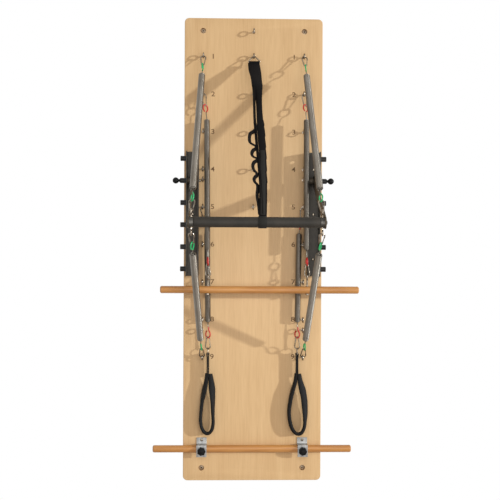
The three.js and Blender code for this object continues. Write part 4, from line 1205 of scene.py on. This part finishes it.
# A steel D ring hangs edge on in the hook.
def addLoopRing(side, hold, body):
    f = footLoop
    half, z, corner = f["barHalf"], f["barZ"] + f["barCorner"], f["barCorner"]
    outline = (arcPoints(0, f["ringZ"], f["ringRadius"], 0, 180, 16)
               + arcPoints(-half, z, corner, 180, 270, 4) + arcPoints(half, z, corner, 270, 360, 4))
    ring = wire([hold + Vector((0, y, z)) for y, z in outline], f["ringWire"], 10, True)
    addPiece(f"foot_loop_ring_{side}", ring, nickelSteel, body)


# The neck strap folds over the ring's bar as two layers.
def addLoopNeck(side, hold, body):
    f = footLoop
    bar, leg = f["barZ"], f["neckThickness"] / 2 + 0.3
    eye = f["neckThickness"] / 2 + f["ringWire"] + 0.2
    fold = []
    for degrees in range(-110, 111, 20):
        angle = math.radians(degrees)
        fold.append((eye * math.sin(angle), bar + eye * math.cos(angle)))
    down = [(-leg - 0.4, -122), (-leg - 0.2, -95), (-leg, -65), (-leg, bar - 14)]
    outline = down + fold + [(-x, z) for x, z in reversed(down)]
    path = smoothPath([hold + Vector((x, 0, z)) for x, z in outline], 3)
    strip = ribbon(path, [-intoWall] * len(path), [f["neckWidth"]] * len(path), f["neckThickness"])
    addPiece(f"foot_loop_neck_{side}", strip, padWeb, body, None, 50)


for sign, side in bothSides:
    addFootLoop(sign, side)
print("foot loops made")


# Safety strap, its ring and its side straps

# Each band row is (share of the way down, mm to the right, width, roll in degrees). The facing is a
# narrower layer in front of the band, from point facingFrom of the smoothed band down.
strap = {
    "ringLength": 34, "ringEye": 8, "ringCorner": 5, "ringLean": 117, "ringHalfSpan": 19, "foldHalf": 23,
    "wrapWidth": 32, "thickness": 2.4, "bow": 50, "wrapX": 21, "tackBump": 2.5, "tacksPerLength": 14.5,
    "tackedFrom": 0.45, "tackedTo": 0.82, "facingShare": 0.62, "facingThickness": 1.2, "facingFrom": 70,
    "band": [(0, -3, 49, 0), (0.075, 0, 55, -14), (0.15, 4, 50, -20), (0.223, 6, 41, 12),
             (0.297, 8, 28, 18), (0.367, 7.5, 25, 10), (0.437, 7.5, 26, 0), (0.506, 9, 30, 0),
             (0.575, 10, 29, 0), (0.66, 11.5, 28, 0), (0.75, 9, 31, 0), (0.838, 8, 32, 0),
             (0.92, 6, 31, 0), (1, 2.5, 31, 0)],
}
strapTop = at(0, eyes["depth"], rowZ(1))
strapEnd = barCentre + acrossBoard * strap["wrapX"]
strapAlong = (strapEnd - strapTop).normalized()
strapNormal = strapAlong.cross(acrossBoard).normalized()
strapLateral = strapNormal.cross(strapAlong).normalized()
ringTop = strapTop + strapAlong * eyeToHook


def strapPoint(share):
    start = ringTop + strapAlong * (strap["ringLength"] + 3)
    finish = strapEnd - strapAlong * (pushBar["gripRadius"] + 0.5 + strap["thickness"])
    return start.lerp(finish, share) + strapNormal * strap["bow"] * math.sin(math.pi * share)


def addStrapPiece(name, form, material, node=None):
    piece = addMesh(name, form, material, 50)
    if node:
        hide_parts(node)
    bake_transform(piece)


def addStrapRing():
    e, c, span, lean = strap["ringEye"], strap["ringCorner"], strap["ringHalfSpan"], strap["ringLean"]
    far = strap["ringLength"] - c
    outline = (arcPoints(e, 0, e, lean, 360 - lean, 10) + arcPoints(far, -span, c, 360 - lean, 360, 8)
               + arcPoints(far, span, c, 0, lean, 8))
    path = [ringTop + strapAlong * u + strapLateral * v for u, v in outline]
    addPiece("strap_ring_wire", wire(path, hook["wire"], 12, True), nickelSteel,
             "wall_panel", "strap_ring")


def bandRows():
    rows = smoothPath([Vector((share, out, 0)) for share, out, _, _ in strap["band"]], 8)
    forms = smoothPath([Vector((width, roll, 0)) for _, _, width, roll in strap["band"]], 8)
    path, laterals, widths = [], [], []
    for row, form in zip(rows, forms):
        tacked = strap["tackedFrom"] < row.x < strap["tackedTo"]
        bump = strap["tackBump"] * ((row.x * strap["tacksPerLength"]) % 1) if tacked else 0
        path.append(strapPoint(row.x) + strapLateral * (row.y + bump / 2))
        laterals.append(Matrix.Rotation(math.radians(form.y), 3, strapAlong) @ strapLateral)
        widths.append(form.x + bump)
    return path, laterals, widths


def addStrapBand():
    path, laterals, widths = bandRows()
    band = ribbon(path, laterals, widths, strap["thickness"])
    addStrapPiece("safety_strap_band", band, strapWeb, "safety_strap")
    lifted = []
    for i, point in enumerate(path):
        out = travelAt(path, i).cross(laterals[i]).normalized()
        lifted.append(point + out * math.copysign(strap["thickness"] / 2 + 0.3, -out.y))
    narrow = [width * strap["facingShare"] for width in widths]
    faced = slice(strap["facingFrom"], -1)
    facing = ribbon(lifted[faced], laterals[faced], narrow[faced], strap["facingThickness"])
    addStrapPiece("safety_strap_facing", facing, strapFacing)


def addStrapWrap():
    inner = pushBar["gripRadius"] + 0.4
    outer = inner + strap["thickness"]
    half = strap["wrapWidth"] / 2
    rim = [(inner, half), (outer - 0.5, half), (outer, half - 0.6)]
    wrap = tube(mirrored(rim), strapEnd, acrossBoard, 48)
    addPiece("safety_strap_wrap", wrap, strapFacing, "push_bar", None, 50)
    half = strap["foldHalf"]
    foldAt = ringTop + strapAlong * strap["ringLength"]
    fold = tube(mirrored([(3, half), (5.4, half), (5.8, half - 1)]), foldAt, strapLateral, 24)
    addPiece("safety_strap_fold", fold, strapWeb, "wall_panel", None, 50)


# A thinner strap runs down beside the band, and a chain of loops bulges out from it to the left.
# Each row is (share of the way down, mm to the right). facing turns the tape's flat side to the front.
sideStraps = {
    "behind": 4,
    "limb": {
        "width": 17, "thickness": 3.4, "facing": -0.6,
        "rows": [(0.01, -16), (0.075, -16), (0.15, -12), (0.223, -10), (0.297, -11), (0.38, -12.5),
                 (0.45, -13), (0.55, -11), (0.65, -8), (0.75, -4), (0.85, -1), (0.985, 0)],
    },
    "loops": {
        "width": 15, "thickness": 3.4, "facing": 1.5,
        "rows": [(0.46, -13), (0.5, -11), (0.514, -15), (0.527, -30), (0.545, -37), (0.58, -37.5),
                 (0.594, -30), (0.607, -15), (0.622, -13), (0.635, -26), (0.656, -31), (0.671, -25),
                 (0.681, -12), (0.693, -12), (0.704, -24), (0.725, -29), (0.746, -25), (0.763, -15),
                 (0.775, -14), (0.787, -22), (0.799, -26), (0.814, -22), (0.827, -14), (0.85, -13),
                 (0.877, -16), (0.904, -15), (0.93, -12), (0.985, -9)],
    },
}


def addSideStrap(label):
    form = sideStraps[label]
    behind = strapNormal * sideStraps["behind"]
    path = smoothPath([strapPoint(share) + strapLateral * out - behind for share, out in form["rows"]], 5)
    laterals = []
    for i in range(len(path)):
        laterals.append(strapNormal + travelAt(path, i).cross(strapNormal) * form["facing"])
    strip = ribbon(path, laterals, [form["width"]] * len(path), form["thickness"])
    addStrapPiece(f"safety_strap_{label}", strip, strapWeb)


addStrapRing()
addStrapBand()
addStrapWrap()
addSideStrap("limb")
addSideStrap("loops")
print("safety strap made")
